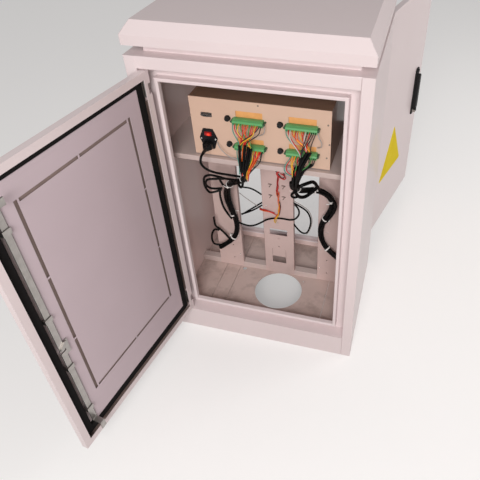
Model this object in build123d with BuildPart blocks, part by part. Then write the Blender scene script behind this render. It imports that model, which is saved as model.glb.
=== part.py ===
from build123d import *
import math
import os

os.makedirs("parts", exist_ok=True)

# Roadside signal controller cabinet of painted sheet steel, with a door in front
# and a door behind, both standing open. Millimetres: X to the right of somebody
# who faces the wiring side, Y away from them, Z up from the ground.
# The origin is at the middle of the footprint.

# Cabinet body
body_width = 600.0
body_depth = 442.0
body_height = 988.0
sheet = 1.5
bend = 2.5
stile_width = 30.3
header_height = 32.2
plinth_height = 85.5
recess_depth = 45.0
sill_flange = 60.0
anchor_flange = 60.0
side_flange = 40.0
anchor_inset_x = 80.0
anchor_inset_y = 31.0
anchor_hole_radius = 7.0

# Rain gutter round each opening
gutter_reach = 23.4
gutter_margin = 36.7
gutter_sill = 33.0
gutter_head = 40.3
gutter_web = 10.0
gutter_hem = 14.0

# Inside of the body
floor_sheet = 3.0
floor_play = 0.5
floor_seam = 1.2
floor_left_width = 96.7
floor_strip_width = 51.6
floor_right_width = 113.9
cable_hole_radius = 83.0
cable_hole_centre = (16.5, -73.5)
cross_sill_front = 10.5
cross_sill_depth = 27.5
cross_sill_height = 21.5
shelf_height = 671.0
shelf_inset_front = 30.7
shelf_inset_back = 30.6
shelf_lip = 15.0
plate_gap = 1.5
plate_flange = 15.0
side_plate_width = 90.4
side_plate_inset = 70.5
centre_plate_left = -53.0
centre_plate_right = 54.0
upper_cutout = (62.0, 273.0, 300.0)
lower_cutout = (50.0, 141.0, 172.0)
tongue_slit_x = 24.4
tongue_slit_width = 1.2
tongue_slit_length = 35.0
hook_slit_x = 22.5
hook_slit_heights = (441.0, 485.0)
hook_slit_width = 2.0
hook_slit_length = 8.0
plate_hole_radius = 2.5
tie_hole_radius = 1.6
centre_plate_holes = ((0.0, 257.0), (0.0, 219.0), (-40.0, 396.0))
side_plate_holes = ((34.4, 191.0), (34.4, 129.0), (10.4, 239.0), (9.9, 150.0))
tie_holes = ((29.4, 320.0), (35.4, 320.0))
floor_holes = ((-132.0, 0.0, 7.0), (94.0, -13.0, 3.0))

# Roof
neck_inset = 36.0
neck_height = 24.4
neck_flange = 20.0
fascia_height = 24.6
slope_rise = 30.0
slope_inset = 22.0
hood_flange = 50.0

# Door
door_gap = 3.0
door_thickness = 20.0
door_flange = 19.5
gasket_margin = 20.2
gasket_width = 24.0
gasket_play = 0.3
liner_sheet = 1.2
liner_depth = 10.0
liner_gap_hinge = 0.8
liner_gap_lock = 22.5
liner_gap_ends = 1.3
liner_slot_width = 7.0
liner_margin_left = 42.7
liner_margin_right = 31.0
liner_margin_bottom = 98.0
liner_margin_top = 45.3
liner_bridge = 4.0
liner_pad_margin = 23.0
liner_pad_rise = 0.8

# Hinges
pin_inset = 6.0
pin_radius = 2.0
pin_play = 0.05
knuckle_radius = 4.0
fixed_knuckle_height = 24.0
leaf_knuckle_height = 12.0
knuckle_gap = 0.2
hinge_end_distance = 47.8
hinge_arm = 3.0
hinge_foot_reach = 30.0
hinge_foot_height = 42.0
hinge_leaf_height = 70.0
hinge_leaf_thickness = 2.5
hinge_foot_thickness = 2.0
pin_head_height = 1.5
knuckle_play = 0.5
knuckle_room = 2.0
cut_past = 1.0
front_door_angle = 99.1
rear_door_angle = 104.3

# Lock
spindle_inset = 61.7
spindle_height = 462.0
barrel_radius = 4.5
stem_radius = 3.0
stem_shoulder = 1.0
spindle_play = 0.05
cam_thickness = 3.0
cam_width = 11.0
cam_rim = 2.0
rod_pin_radius = 1.5
rod_travel = 14.0
rod_width = 15.0
rod_offset = 2.0
rod_thickness = 3.0
rod_level = 12.0
rod_play = 0.3
rod_eye_rim = 2.7
rod_shoulder = 3.0
rod_joggle = 14.0
rod_drop = 12.0
hook_play = 2.4
hook_withdrawn = 6.5
crank_play = 1.5
guide_wall = 2.0
guide_length = 14.0
guide_below = 79.0
guide_above = 98.0
guide_end_below = 49.0
guide_end_above = 70.0

# Swing handle
housing_width = 30.0
housing_below = 16.0
housing_above = 180.0
housing_thickness = 5.0
handle_play = 0.3
housing_corner = 8.0
housing_edge = 1.2
key_barrel_radius = 8.0
key_barrel_height = 4.0
key_barrel_inset = 11.0
head_radius = 10.0
head_thickness = 2.0
ear_radius = 5.0
ear_height = 6.0
ear_thickness = 3.8
ear_play = 0.2
tongue_width = 8.0
tongue_root = 2.0
lever_width = 24.0
lever_thickness = 12.0
lever_shoulder = 14.0
lever_length = 158.0
lever_straight = 30.0
lever_taper = 3.0
lever_tip = 8.0
lever_edge = 2.5
lever_gap = 1.0

# Controller unit on the shelf
unit_left = -191.0
unit_width = 384.5
unit_depth = 270.0
unit_setback = 12.7
unit_foot = 3.2
unit_height = 176.5
unit_sheet = 1.2
unit_panel = 2.0
lid_rise = 3.2
lid_border = 9.0
foot_spacing_x = 330.0
foot_spacing_y = 220.0
foot_radius = 7.0

# Connectors on the wiring side, as x and z of each centre
block_length = 83.0
left_block_x = -25.5
right_block_x = 118.5
upper_block_z = 797.0
lower_block_z = 719.0
block_ways = 16
block_pitch = 5.08
block_profile = ((0, -8), (0, 7), (11, 7), (17, 3), (19, 0), (19, -7), (16, -8))
block_reach = 19.0
tang_below = 8.0
tang_above = 4.0
tang_play = 1.0
way_width = 3.6
way_height = 4.0
way_drop = 3.6
way_depth = 6.0
window_margin = 4.5
window_below = 10.0
upper_window_above = 25.0
lower_window_above = 22.0
board_gap = 2.0
board_thickness = 1.6
board_margin = 2.0
board_bottom = 690.0
board_top = 828.0
fuse_centres = ((-85.0, 798.0), (-86.0, 719.0), (59.0, 797.0), (58.0, 717.0))
fuse_radius = 5.0
fuse_play = 0.05
fuse_wall = 1.3
fuse_flange = 3.3
fuse_flange_height = 2.5
fuse_holder_depth = 28.0
fuse_bore_depth = 24.0
fuse_stem = 22.0
cap_overlap = 1.8
cap_height = 7.0
cap_edge = 0.8
cap_gap = 0.2
cap_slot = (2.0, 9.0, 2.0)
cap_slot_turn = -35.0
serial_centre = (-145.0, 801.0)
serial_flange = (31.0, 12.5)
serial_flange_height = 1.0
serial_opening = (19.0, 10.0)
serial_screw_x = 12.5
serial_screw_radius = 2.6
serial_screw_height = 5.0
shell_corners = ((-9, 4.2), (9, 4.2), (7.4, -4.2), (-7.4, -4.2))
shell_height = 5.8
shell_well = 3.5
shell_corner = 2.0
shell_wall = 1.0
inlet_centre = (-146.0, 727.0)
inlet_corners = ((-14, 31), (14, 31), (26, 2), (15, -31), (-15, -31), (-26, 2))
inlet_flange = 3.0
inlet_width = 27.4
inlet_margin = 11.7
inlet_depth = 26.0
inlet_play = 0.3
inlet_screw_x = 20.0
inlet_screw_radius = 2.2
inlet_screw_height = 0.6
rocker_z = 742.0
rocker_swing = 20.0
rocker_radius = 6.8
rocker_width = 20.0
rocker_sink = 0.4
rocker_well_play = 5.0
rocker_hollow_radius = 9.0
rocker_hollow_distance = 13.5
plug_z = 711.0
plug_nose = (24.0, 16.0)
plug_nose_depth = 11.0
plug_well_play = 3.0
plug_body = (27.0, 19.0)
plug_corner = 4.0
plug_length = 16.0
plug_neck_length = 14.0
plug_neck_radius = 6.0
plug_drop = 2.0
boot_radius = 5.4
boot_length = 17.0
boot_taper = 4.0

# Cables
loom_radius = 10.5
loom_play = 0.3
power_cord_radius = 3.4
cross_cable_radius = 3.0
tie_width = 4.5
tie_thickness = 1.2
tie_play = 0.1
bend_share = 0.45
loom_hang = 31.4
fan_thickness = 4.0
fan_margin = 6.0
fan_drop = 3.0
fan_width = 12.0

# Worked out from the sizes above
front = -body_depth / 2
recess_x = body_width / 2 - stile_width
recess_top = body_height - header_height
recess_back = front + recess_depth
inner_x = body_width / 2 - sheet
opening_x = recess_x - gutter_margin
opening_bottom = plinth_height + gutter_sill
opening_top = recess_top - gutter_head
gutter_front = front + recess_depth - gutter_reach
floor_top = plinth_height + floor_sheet
shelf_front = recess_back + shelf_inset_front
shelf_back = -recess_back - shelf_inset_back
plate_back = cross_sill_front
plate_front = plate_back - sheet
side_plate_outer = inner_x - side_plate_inset
side_plate_inner = side_plate_outer - side_plate_width
door_x = recess_x - door_gap
door_bottom = plinth_height + door_gap
door_top = recess_top - door_gap
door_back = front + door_thickness
hinge_x = -door_x + pin_inset
hinge_y = front + pin_inset
hinge_heights = (door_bottom + hinge_end_distance, door_top - hinge_end_distance)
gasket_x = door_x - gasket_margin
gasket_bottom = door_bottom + gasket_margin
gasket_top = door_top - gasket_margin
liner_left = -gasket_x + gasket_width + liner_gap_hinge
liner_right = gasket_x - gasket_width - liner_gap_lock
liner_bottom = gasket_bottom + gasket_width + liner_gap_ends
liner_top = gasket_top - gasket_width - liner_gap_ends
slot_left = liner_left + liner_margin_left
slot_right = liner_right - liner_margin_right
slot_bottom = liner_bottom + liner_margin_bottom
slot_top = liner_top - liner_margin_top
spindle_x = door_x - spindle_inset
rod_left = spindle_x - rod_offset
rod_right = rod_left + rod_width
housing_bottom = spindle_height - housing_below
housing_top = spindle_height + housing_above
cam_radius = rod_travel / math.sqrt(2)
slant = rod_travel / 2
crank_reach = rod_travel + rod_thickness + crank_play
crank_bottom = gasket_bottom + gasket_width + crank_reach
crank_top = gasket_top - gasket_width - crank_reach
unit_right = unit_left + unit_width
unit_front = shelf_front + unit_setback
unit_back = unit_front + unit_depth
unit_bottom = shelf_height + unit_foot
unit_top = unit_bottom + unit_height
panel_back = unit_front + unit_panel


def upright(y):
    """A plane at depth y that shows X to the right and Z up; a negative extrusion goes back."""
    return Plane.XZ.offset(-y)


def lengthways(x):
    """A plane at x that shows Y to the right and Z up; an extrusion goes to the right."""
    return Plane.YZ.offset(x)


def folded(points, thickness, side):
    """Draw the section of a folded sheet from the line of its visible face."""
    with BuildLine() as section:
        FilletPolyline(*points, radius=bend)
        offset(amount=thickness, side=side)
    make_face(section.edges())


def block(x_range, y_range, z_range, mode=Mode.ADD):
    """A box between three pairs of coordinates."""
    sizes = [high - low for low, high in (x_range, y_range, z_range)]
    middle = [(low + high) / 2 for low, high in (x_range, y_range, z_range)]
    with Locations(tuple(middle)):
        Box(*sizes, mode=mode)


# Body of the cabinet

for hand, side, inside in (("left", -1, Side.RIGHT), ("right", 1, Side.LEFT)):
    with BuildPart() as side_panel:
        with BuildSketch(Plane.XY):
            folded(
                [
                    (side * recess_x, recess_back),
                    (side * recess_x, front),
                    (side * body_width / 2, front),
                    (side * body_width / 2, -front),
                    (side * recess_x, -front),
                    (side * recess_x, -recess_back),
                ],
                sheet,
                inside,
            )
        extrude(amount=body_height - sheet)
    side_panel.part.label = f"side_panel_{hand}"
    export_step(side_panel.part, f"parts/side_panel_{hand}.step")

with BuildPart() as top_panel:
    with BuildSketch(lengthways(-recess_x)):
        folded(
            [
                (recess_back, recess_top),
                (front, recess_top),
                (front, body_height),
                (-front, body_height),
                (-front, recess_top),
                (-recess_back, recess_top),
            ],
            sheet,
            Side.RIGHT,
        )
    extrude(amount=2 * recess_x)
    for side in (-1, 1):
        edge = sorted((side * recess_x, side * body_width / 2))
        block(edge, (front, -front), (body_height - sheet, body_height))
top_panel.part.label = "top_panel"
export_step(top_panel.part, "parts/top_panel.step")


def plinth_outline():
    """The footprint inside the side panels, stepped in beside the recess walls."""
    return Sketch() + Rectangle(2 * recess_x, body_depth) + Rectangle(2 * inner_x, -2 * recess_back)


with BuildPart() as plinth_frame:
    with BuildSketch(Plane.XY):
        add(plinth_outline())
        offset(amount=-sheet, kind=Kind.INTERSECTION, mode=Mode.SUBTRACT)
    extrude(amount=plinth_height)
    for level, flange in ((0, anchor_flange), (plinth_height - sheet, sill_flange)):
        with BuildSketch(Plane.XY.offset(level)):
            add(plinth_outline())
            Rectangle(2 * (inner_x - side_flange), body_depth - 2 * flange, mode=Mode.SUBTRACT)
        extrude(amount=sheet)
    with BuildSketch(Plane.XY):
        with GridLocations(body_width - 2 * anchor_inset_x, body_depth - 2 * anchor_inset_y, 2, 2):
            Circle(anchor_hole_radius)
    extrude(amount=sheet, mode=Mode.SUBTRACT)
plinth_frame.part.label = "plinth_frame"
export_step(plinth_frame.part, "parts/plinth_frame.step")

for place, turn in (("front", 0), ("rear", 180)):
    with BuildPart() as gutter_frame:
        with BuildLine() as rim:
            Polyline(
                (0, gutter_front, opening_bottom),
                (opening_x, gutter_front, opening_bottom),
                (opening_x, gutter_front, opening_top),
                (-opening_x, gutter_front, opening_top),
                (-opening_x, gutter_front, opening_bottom),
                (0, gutter_front, opening_bottom),
            )
        with BuildSketch(lengthways(0)):
            folded(
                [
                    (recess_back - sheet, opening_bottom - 2 * gutter_web),
                    (recess_back - sheet, opening_bottom - gutter_web),
                    (gutter_front, opening_bottom - gutter_web),
                    (gutter_front, opening_bottom),
                    (gutter_front + gutter_hem, opening_bottom),
                ],
                sheet,
                Side.RIGHT,
            )
        sweep(transition=Transition.RIGHT)
        with BuildSketch(upright(recess_back - sheet)):
            with Locations((0, (plinth_height + recess_top) / 2)):
                Rectangle(2 * recess_x, recess_top - plinth_height)
            with Locations((0, (opening_bottom + opening_top) / 2)):
                Rectangle(
                    2 * (opening_x + 1.5 * gutter_web),
                    opening_top - opening_bottom + 3 * gutter_web,
                    mode=Mode.SUBTRACT,
                )
        extrude(amount=-sheet)
    gutter_frame.part = gutter_frame.part.rotate(Axis.Z, turn)
    gutter_frame.part.label = f"gutter_frame_{place}"
    export_step(gutter_frame.part, f"parts/gutter_frame_{place}.step")

# Floor, sill, shelf and mounting plates

floor_x = inner_x - floor_play
floor_y = -recess_back - floor_play
seam_left = -floor_x + floor_left_width
seam_middle = seam_left + floor_strip_width
seam_right = floor_x - floor_right_width

with BuildPart() as floor_panel:
    block(
        (seam_middle + floor_seam / 2, seam_right - floor_seam / 2),
        (-floor_y, floor_y),
        (plinth_height, floor_top),
    )
    with Locations((cable_hole_centre[0], cable_hole_centre[1], floor_top)):
        Hole(cable_hole_radius)
    for x, y, radius in floor_holes:
        with Locations((x, y, floor_top)):
            Hole(radius)
floor_panel.part.label = "floor_panel"
export_step(floor_panel.part, "parts/floor_panel.step")

with BuildPart() as floor_side_plates:
    for left, right in (
        (-floor_x, seam_left - floor_seam / 2),
        (seam_left + floor_seam / 2, seam_middle - floor_seam / 2),
        (seam_right + floor_seam / 2, floor_x),
    ):
        block((left, right), (-floor_y, floor_y), (plinth_height, floor_top))
floor_side_plates.part.label = "floor_side_plates"
export_step(floor_side_plates.part, "parts/floor_side_plates.step")

with BuildPart() as cross_sill:
    with BuildSketch(lengthways(-floor_x)):
        folded(
            [
                (cross_sill_front, floor_top),
                (cross_sill_front, floor_top + cross_sill_height),
                (cross_sill_front + cross_sill_depth, floor_top + cross_sill_height),
                (cross_sill_front + cross_sill_depth, floor_top),
            ],
            sheet,
            Side.RIGHT,
        )
    extrude(amount=2 * floor_x)
cross_sill.part.label = "cross_sill"
export_step(cross_sill.part, "parts/cross_sill.step")

with BuildPart() as shelf:
    with BuildSketch(lengthways(-inner_x)):
        folded(
            [
                (shelf_front, shelf_height - shelf_lip),
                (shelf_front, shelf_height),
                (shelf_back, shelf_height),
                (shelf_back, shelf_height - shelf_lip),
            ],
            sheet,
            Side.RIGHT,
        )
    extrude(amount=2 * inner_x)
shelf.part.label = "shelf"
export_step(shelf.part, "parts/shelf.step")

plate_bottom = floor_top + plate_gap
plate_top = shelf_height - sheet


def plate_holes(places, radius):
    """Drill round holes through a mounting plate, at the given x and z."""
    with BuildSketch(upright(plate_front)) as holes:
        with Locations(*places):
            Circle(radius)
    extrude(holes.sketch, amount=-sheet, mode=Mode.SUBTRACT)


def plate_slit(x_range, z_range):
    """Cut a rectangle through the centre plate."""
    block(x_range, (plate_front, plate_back), z_range, mode=Mode.SUBTRACT)


with BuildPart() as mounting_plate_centre:
    with BuildSketch(Plane.XY.offset(plate_bottom)):
        folded(
            [
                (centre_plate_left, plate_front + plate_flange),
                (centre_plate_left, plate_front),
                (centre_plate_right, plate_front),
                (centre_plate_right, plate_front + plate_flange),
            ],
            sheet,
            Side.LEFT,
        )
    extrude(amount=plate_top - plate_bottom)
    # The flanges stop above the sill, whose front the plate overlaps
    block(
        (centre_plate_left, centre_plate_right),
        (plate_back, plate_front + plate_flange),
        (plate_bottom, floor_top + cross_sill_height),
        mode=Mode.SUBTRACT,
    )
    for width, bottom, top in (upper_cutout, lower_cutout):
        plate_slit((-width / 2, width / 2), (bottom, top))
    for x in (-tongue_slit_x, tongue_slit_x):
        half = tongue_slit_width / 2
        plate_slit((x - half, x + half), (lower_cutout[2], lower_cutout[2] + tongue_slit_length))
    plate_holes(centre_plate_holes, plate_hole_radius)
    for x in (-hook_slit_x, hook_slit_x):
        for z in hook_slit_heights:
            half = hook_slit_length / 2
            plate_slit((x - half, x + half), (z + half, z + half + hook_slit_width))
            plate_slit((x, x + hook_slit_width), (z - half, z + half))
mounting_plate_centre.part.label = "mounting_plate_centre"
export_step(mounting_plate_centre.part, "parts/mounting_plate_centre.step")

for hand, side, outside in (("left", -1, Side.RIGHT), ("right", 1, Side.LEFT)):
    with BuildPart() as mounting_plate:
        with BuildSketch(Plane.XY.offset(plate_bottom)):
            folded(
                [
                    (side * side_plate_inner, plate_front + plate_flange),
                    (side * side_plate_inner, plate_front),
                    (side * side_plate_outer, plate_front),
                ],
                sheet,
                outside,
            )
        extrude(amount=plate_top - plate_bottom)
        block(
            (-inner_x, inner_x),
            (plate_back, plate_front + plate_flange),
            (plate_bottom, floor_top + cross_sill_height),
            mode=Mode.SUBTRACT,
        )
        near = side_plate_inner
        plate_holes([(side * (near + x), z) for x, z in side_plate_holes], plate_hole_radius)
        if side > 0:
            plate_holes([(near + x, z) for x, z in tie_holes], tie_hole_radius)
    mounting_plate.part.label = f"mounting_plate_{hand}"
    export_step(mounting_plate.part, f"parts/mounting_plate_{hand}.step")

# Roof

neck_x = body_width / 2 - neck_inset
neck_y = body_depth / 2 - neck_inset
neck_top = body_height + neck_height

with BuildPart() as roof_neck:
    with BuildSketch(Plane.XY.offset(body_height)):
        RectangleRounded(2 * neck_x, 2 * neck_y, bend)
        offset(amount=-sheet, mode=Mode.SUBTRACT)
    extrude(amount=neck_height)
    for level in (body_height, neck_top - sheet):
        with BuildSketch(Plane.XY.offset(level)):
            RectangleRounded(2 * neck_x, 2 * neck_y, bend)
            Rectangle(2 * (neck_x - neck_flange), 2 * (neck_y - neck_flange), mode=Mode.SUBTRACT)
        extrude(amount=sheet)
roof_neck.part.label = "roof_neck"
export_step(roof_neck.part, "parts/roof_neck.step")

with BuildPart() as roof_hood:
    with BuildSketch(Plane.XY.offset(neck_top)):
        RectangleRounded(body_width, body_depth, bend)
    extrude(amount=fascia_height)
    with BuildSketch(Plane.XY.offset(neck_top + fascia_height)):
        RectangleRounded(body_width, body_depth, bend)
    with BuildSketch(Plane.XY.offset(neck_top + fascia_height + slope_rise)):
        RectangleRounded(body_width - 2 * slope_inset, body_depth - 2 * slope_inset, bend)
    loft()
    offset(amount=-sheet, openings=roof_hood.faces().sort_by(Axis.Z)[0])
    with BuildSketch(Plane.XY.offset(neck_top)):
        RectangleRounded(body_width, body_depth, bend)
        Rectangle(body_width - 2 * hood_flange, body_depth - 2 * hood_flange, mode=Mode.SUBTRACT)
    extrude(amount=sheet)
roof_hood.part.label = "roof_hood"
export_step(roof_hood.part, "parts/roof_hood.step")

# Hinges

arm_back = front + hinge_foot_reach
foot_back = recess_back - sheet - rod_play

for place, turn in (("front", 0), ("rear", 180)):
    with BuildPart() as hinge_brackets:
        for height in hinge_heights:
            with BuildSketch(Plane.XY.offset(height - fixed_knuckle_height / 2)):
                with Locations((hinge_x, hinge_y)):
                    Circle(knuckle_radius)
                with Locations((hinge_x, (hinge_y + arm_back) / 2)):
                    Rectangle(hinge_arm, arm_back - hinge_y)
                with Locations(((hinge_x + hinge_arm / 2 - recess_x) / 2, arm_back - hinge_arm / 2)):
                    Rectangle(hinge_x + hinge_arm / 2 + recess_x, hinge_arm)
                with Locations((hinge_x, hinge_y)):
                    Circle(pin_radius, mode=Mode.SUBTRACT)
            extrude(amount=fixed_knuckle_height)
            block(
                (-recess_x, -recess_x + hinge_foot_thickness),
                (arm_back - hinge_arm, foot_back),
                (height - hinge_foot_height / 2, height + hinge_foot_height / 2),
            )
    with BuildPart() as hinge_pins:
        for height in hinge_heights:
            half = fixed_knuckle_height / 2 + knuckle_gap + leaf_knuckle_height + knuckle_gap
            with Locations((hinge_x, hinge_y, height)):
                Cylinder(pin_radius, 2 * half)
            with Locations((hinge_x, hinge_y, height + half)):
                Cylinder(knuckle_radius, pin_head_height, align=(Align.CENTER, Align.CENTER, Align.MIN))
    pieces = [*hinge_brackets.part.solids(), *hinge_pins.part.solids()]
    hinge_set = Compound([piece.rotate(Axis.Z, turn) for piece in pieces])
    hinge_set.label = f"hinge_brackets_{place}"
    export_step(hinge_set, f"parts/hinge_brackets_{place}.step")

# Doors, drawn shut in the front opening, then swung on the hinge pins and, for the
# door behind, carried round to the far side


def ring(inner, outer):
    """Draw a frame between two rectangles, each given as left, right, bottom and top."""
    for (left, right, bottom, top), mode in ((outer, Mode.ADD), (inner, Mode.SUBTRACT)):
        with Locations(((left + right) / 2, (bottom + top) / 2)):
            Rectangle(right - left, top - bottom, mode=mode)


def door_skin_piece():
    """The outer tray: a face, its four returns and an inward flange."""
    with BuildPart() as skin:
        block((-door_x, door_x), (front, door_back), (door_bottom, door_top))
        fillet(skin.faces().sort_by(Axis.Y)[0].edges(), bend)
        block(
            (-door_x + sheet, door_x - sheet),
            (front + sheet, door_back - sheet),
            (door_bottom + sheet, door_top - sheet),
            mode=Mode.SUBTRACT,
        )
        block(
            (-door_x + door_flange, door_x - door_flange),
            (door_back - sheet, door_back),
            (door_bottom + door_flange, door_top - door_flange),
            mode=Mode.SUBTRACT,
        )
        # Room for the fixed knuckles and their arms
        for height in hinge_heights:
            half = fixed_knuckle_height / 2 + knuckle_room
            block(
                (-door_x - cut_past, hinge_x + hinge_arm),
                (front + sheet, door_back + cut_past),
                (height - half, height + half),
                mode=Mode.SUBTRACT,
            )
        with BuildSketch(upright(front)):
            with Locations((spindle_x, spindle_height)):
                Circle(barrel_radius + handle_play)
        extrude(amount=-sheet, mode=Mode.SUBTRACT)
    return skin.part


def door_liner_piece():
    """The inner tray, with the slotted frame and the raised field inside it."""
    face = front + liner_depth
    with BuildPart() as liner:
        block(
            (liner_left, liner_right),
            (front + sheet, face + liner_sheet),
            (liner_bottom, liner_top),
        )
        block(
            (liner_left + liner_sheet, liner_right - liner_sheet),
            (front + sheet, face),
            (liner_bottom + liner_sheet, liner_top - liner_sheet),
            mode=Mode.SUBTRACT,
        )
        block(
            (slot_left + liner_pad_margin, slot_right - liner_pad_margin),
            (face + liner_sheet, face + liner_sheet + liner_pad_rise),
            (slot_bottom + liner_pad_margin, slot_top - liner_pad_margin),
        )
        half = liner_slot_width / 2
        with BuildSketch(upright(face)):
            ring(
                (slot_left + half, slot_right - half, slot_bottom + half, slot_top - half),
                (slot_left - half, slot_right + half, slot_bottom - half, slot_top + half),
            )
            width = slot_right - slot_left
            height = slot_top - slot_bottom
            centre = ((slot_left + slot_right) / 2, (slot_bottom + slot_top) / 2)
            # Narrow bridges hold the field: at the corners and between them
            with Locations(centre):
                with GridLocations(width, height, 2, 2):
                    Rectangle(liner_bridge, 4 * liner_slot_width, rotation=45, mode=Mode.SUBTRACT)
                    Rectangle(liner_bridge, 4 * liner_slot_width, rotation=-45, mode=Mode.SUBTRACT)
                Rectangle(liner_bridge, height + 2 * liner_slot_width, mode=Mode.SUBTRACT)
                with GridLocations(0, height / 3, 1, 2):
                    Rectangle(width + 2 * liner_slot_width, liner_bridge, mode=Mode.SUBTRACT)
        extrude(amount=-liner_sheet, mode=Mode.SUBTRACT)
    return liner.part


def door_gasket_piece():
    """The foam strip that the gutter's rim presses into."""
    with BuildPart() as gasket:
        with BuildSketch(upright(front + sheet)):
            ring(
                (
                    -gasket_x + gasket_width,
                    gasket_x - gasket_width,
                    gasket_bottom + gasket_width,
                    gasket_top - gasket_width,
                ),
                (-gasket_x, gasket_x, gasket_bottom, gasket_top),
            )
        extrude(amount=-(gutter_front - gasket_play - front - sheet))
    return gasket.part


def hinge_leaves_piece():
    """Two leaves on the inside of the skin, each with a knuckle above and below the fixed one."""
    clear = knuckle_radius + knuckle_play
    with BuildPart() as leaves:
        for height in hinge_heights:
            block(
                (hinge_x + clear, -door_x + door_flange),
                (front + sheet, front + sheet + hinge_leaf_thickness),
                (height - hinge_leaf_height / 2, height + hinge_leaf_height / 2),
            )
            upper = height + fixed_knuckle_height / 2 + knuckle_gap
            lower = height - fixed_knuckle_height / 2 - knuckle_gap - leaf_knuckle_height
            for base in (lower, upper):
                block(
                    (hinge_x, hinge_x + clear),
                    (front + sheet, front + sheet + hinge_leaf_thickness),
                    (base, base + leaf_knuckle_height),
                )
                with BuildSketch(Plane.XY.offset(base)):
                    with Locations((hinge_x, hinge_y)):
                        Circle(knuckle_radius)
                extrude(amount=leaf_knuckle_height)
                with BuildSketch(Plane.XY.offset(base)):
                    with Locations((hinge_x, hinge_y)):
                        Circle(pin_radius + pin_play)
                extrude(amount=leaf_knuckle_height, mode=Mode.SUBTRACT)
    return leaves.part


housing_face = front - housing_thickness
head_back = housing_face - handle_play
head_front = head_back - head_thickness
ear_y = head_front - ear_height
lever_back = housing_face - lever_gap


def handle_housing_piece():
    """The escutcheon outside: a long plate with a key barrel beyond the lever's tip."""
    with BuildPart() as housing:
        with BuildSketch(upright(front)):
            with Locations((spindle_x, (housing_bottom + housing_top) / 2)):
                RectangleRounded(housing_width, housing_top - housing_bottom, housing_corner)
        extrude(amount=housing_thickness)
        chamfer(housing.faces().sort_by(Axis.Y)[0].edges(), housing_edge)
        with BuildSketch(upright(housing_face)):
            with Locations((spindle_x, housing_top - key_barrel_inset)):
                Circle(key_barrel_radius)
        extrude(amount=key_barrel_height)
        with BuildSketch(upright(front)):
            with Locations((spindle_x, spindle_height)):
                Circle(barrel_radius + spindle_play)
        extrude(amount=housing_thickness, mode=Mode.SUBTRACT)
    return housing.part


def lock_spindle_piece():
    """The turning shaft, with a forked head outside and a stem for the cam inside."""
    stem_start = front + rod_level - stem_shoulder
    stem_end = front + rod_level + rod_thickness + rod_play + cam_thickness
    with BuildPart() as spindle:
        with BuildSketch(upright(head_front)):
            with Locations((spindle_x, spindle_height)):
                Circle(head_radius)
        extrude(amount=-head_thickness)
        with BuildSketch(upright(head_front)):
            with Locations((spindle_x, spindle_height)):
                Circle(barrel_radius)
        extrude(amount=-(stem_start - head_front))
        with BuildSketch(upright(stem_start)):
            with Locations((spindle_x, spindle_height)):
                Circle(stem_radius)
        extrude(amount=-(stem_end - stem_start))
        inner = tongue_width / 2 + ear_play
        for near in (-inner - ear_thickness, inner):
            with BuildSketch(lengthways(spindle_x + near)):
                with Locations((ear_y, spindle_height)):
                    Circle(ear_radius)
                with Locations((ear_y + ear_height / 2, spindle_height)):
                    Rectangle(ear_height, 2 * ear_radius)
            extrude(amount=ear_thickness)
        with BuildSketch(lengthways(spindle_x - inner - ear_thickness)):
            with Locations((ear_y, spindle_height)):
                Circle(pin_radius)
        extrude(amount=2 * (inner + ear_thickness))
    return spindle.part


def handle_lever_piece():
    """The swing lever: a tongue in the fork and a flat grip that tapers to its tip."""
    tip = spindle_height + lever_length
    shoulder = spindle_height + lever_shoulder
    with BuildPart() as lever:
        with BuildSketch(upright(lever_back)):
            with BuildLine():
                half = lever_width / 2
                left_end = (spindle_x - half + lever_taper, tip - lever_tip)
                right_end = (spindle_x + half - lever_taper, tip - lever_tip)
                Polyline(
                    left_end,
                    (spindle_x - half, shoulder + lever_straight),
                    (spindle_x - half, shoulder),
                    (spindle_x + half, shoulder),
                    (spindle_x + half, shoulder + lever_straight),
                    right_end,
                )
                ThreePointArc(right_end, (spindle_x, tip), left_end)
            make_face()
        extrude(amount=lever_thickness)
        fillet(lever.faces().sort_by(Axis.Y)[0].edges(), lever_edge)
        with BuildSketch(lengthways(spindle_x - tongue_width / 2)):
            with Locations((ear_y, spindle_height)):
                Circle(ear_radius)
            with Locations((ear_y, spindle_height + lever_shoulder / 2)):
                Rectangle(2 * ear_radius, lever_shoulder + tongue_root)
            with Locations((ear_y, spindle_height)):
                Circle(pin_radius + pin_play, mode=Mode.SUBTRACT)
        extrude(amount=tongue_width)
    return lever.part


def lock_cam_piece():
    """The plate on the inner end of the spindle, with a pin for each rod."""
    back = front + rod_level + rod_thickness + rod_play
    reach = cam_radius + rod_pin_radius + cam_rim
    with BuildPart() as cam:
        with BuildSketch(upright(back)):
            with Locations((spindle_x, spindle_height)):
                SlotOverall(2 * reach, cam_width, rotation=-45)
                Circle(stem_radius, mode=Mode.SUBTRACT)
        extrude(amount=-cam_thickness)
        with BuildSketch(upright(back)):
            with Locations(
                (spindle_x + slant, spindle_height - slant),
                (spindle_x - slant, spindle_height + slant),
            ):
                Circle(rod_pin_radius)
        extrude(amount=rod_thickness + rod_play)
    return cam.part


def rod_slot(x):
    """Cut the cross slot in which a cam pin drives the rod."""
    play = rod_pin_radius + rod_play
    level = spindle_height - slant if x > spindle_x else spindle_height + slant
    with BuildSketch(upright(front + rod_level)) as slot:
        with Locations((x, level)):
            SlotOverall(cam_radius - slant + 2 * play, 2 * play)
    extrude(slot.sketch, amount=-rod_thickness, mode=Mode.SUBTRACT)


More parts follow.
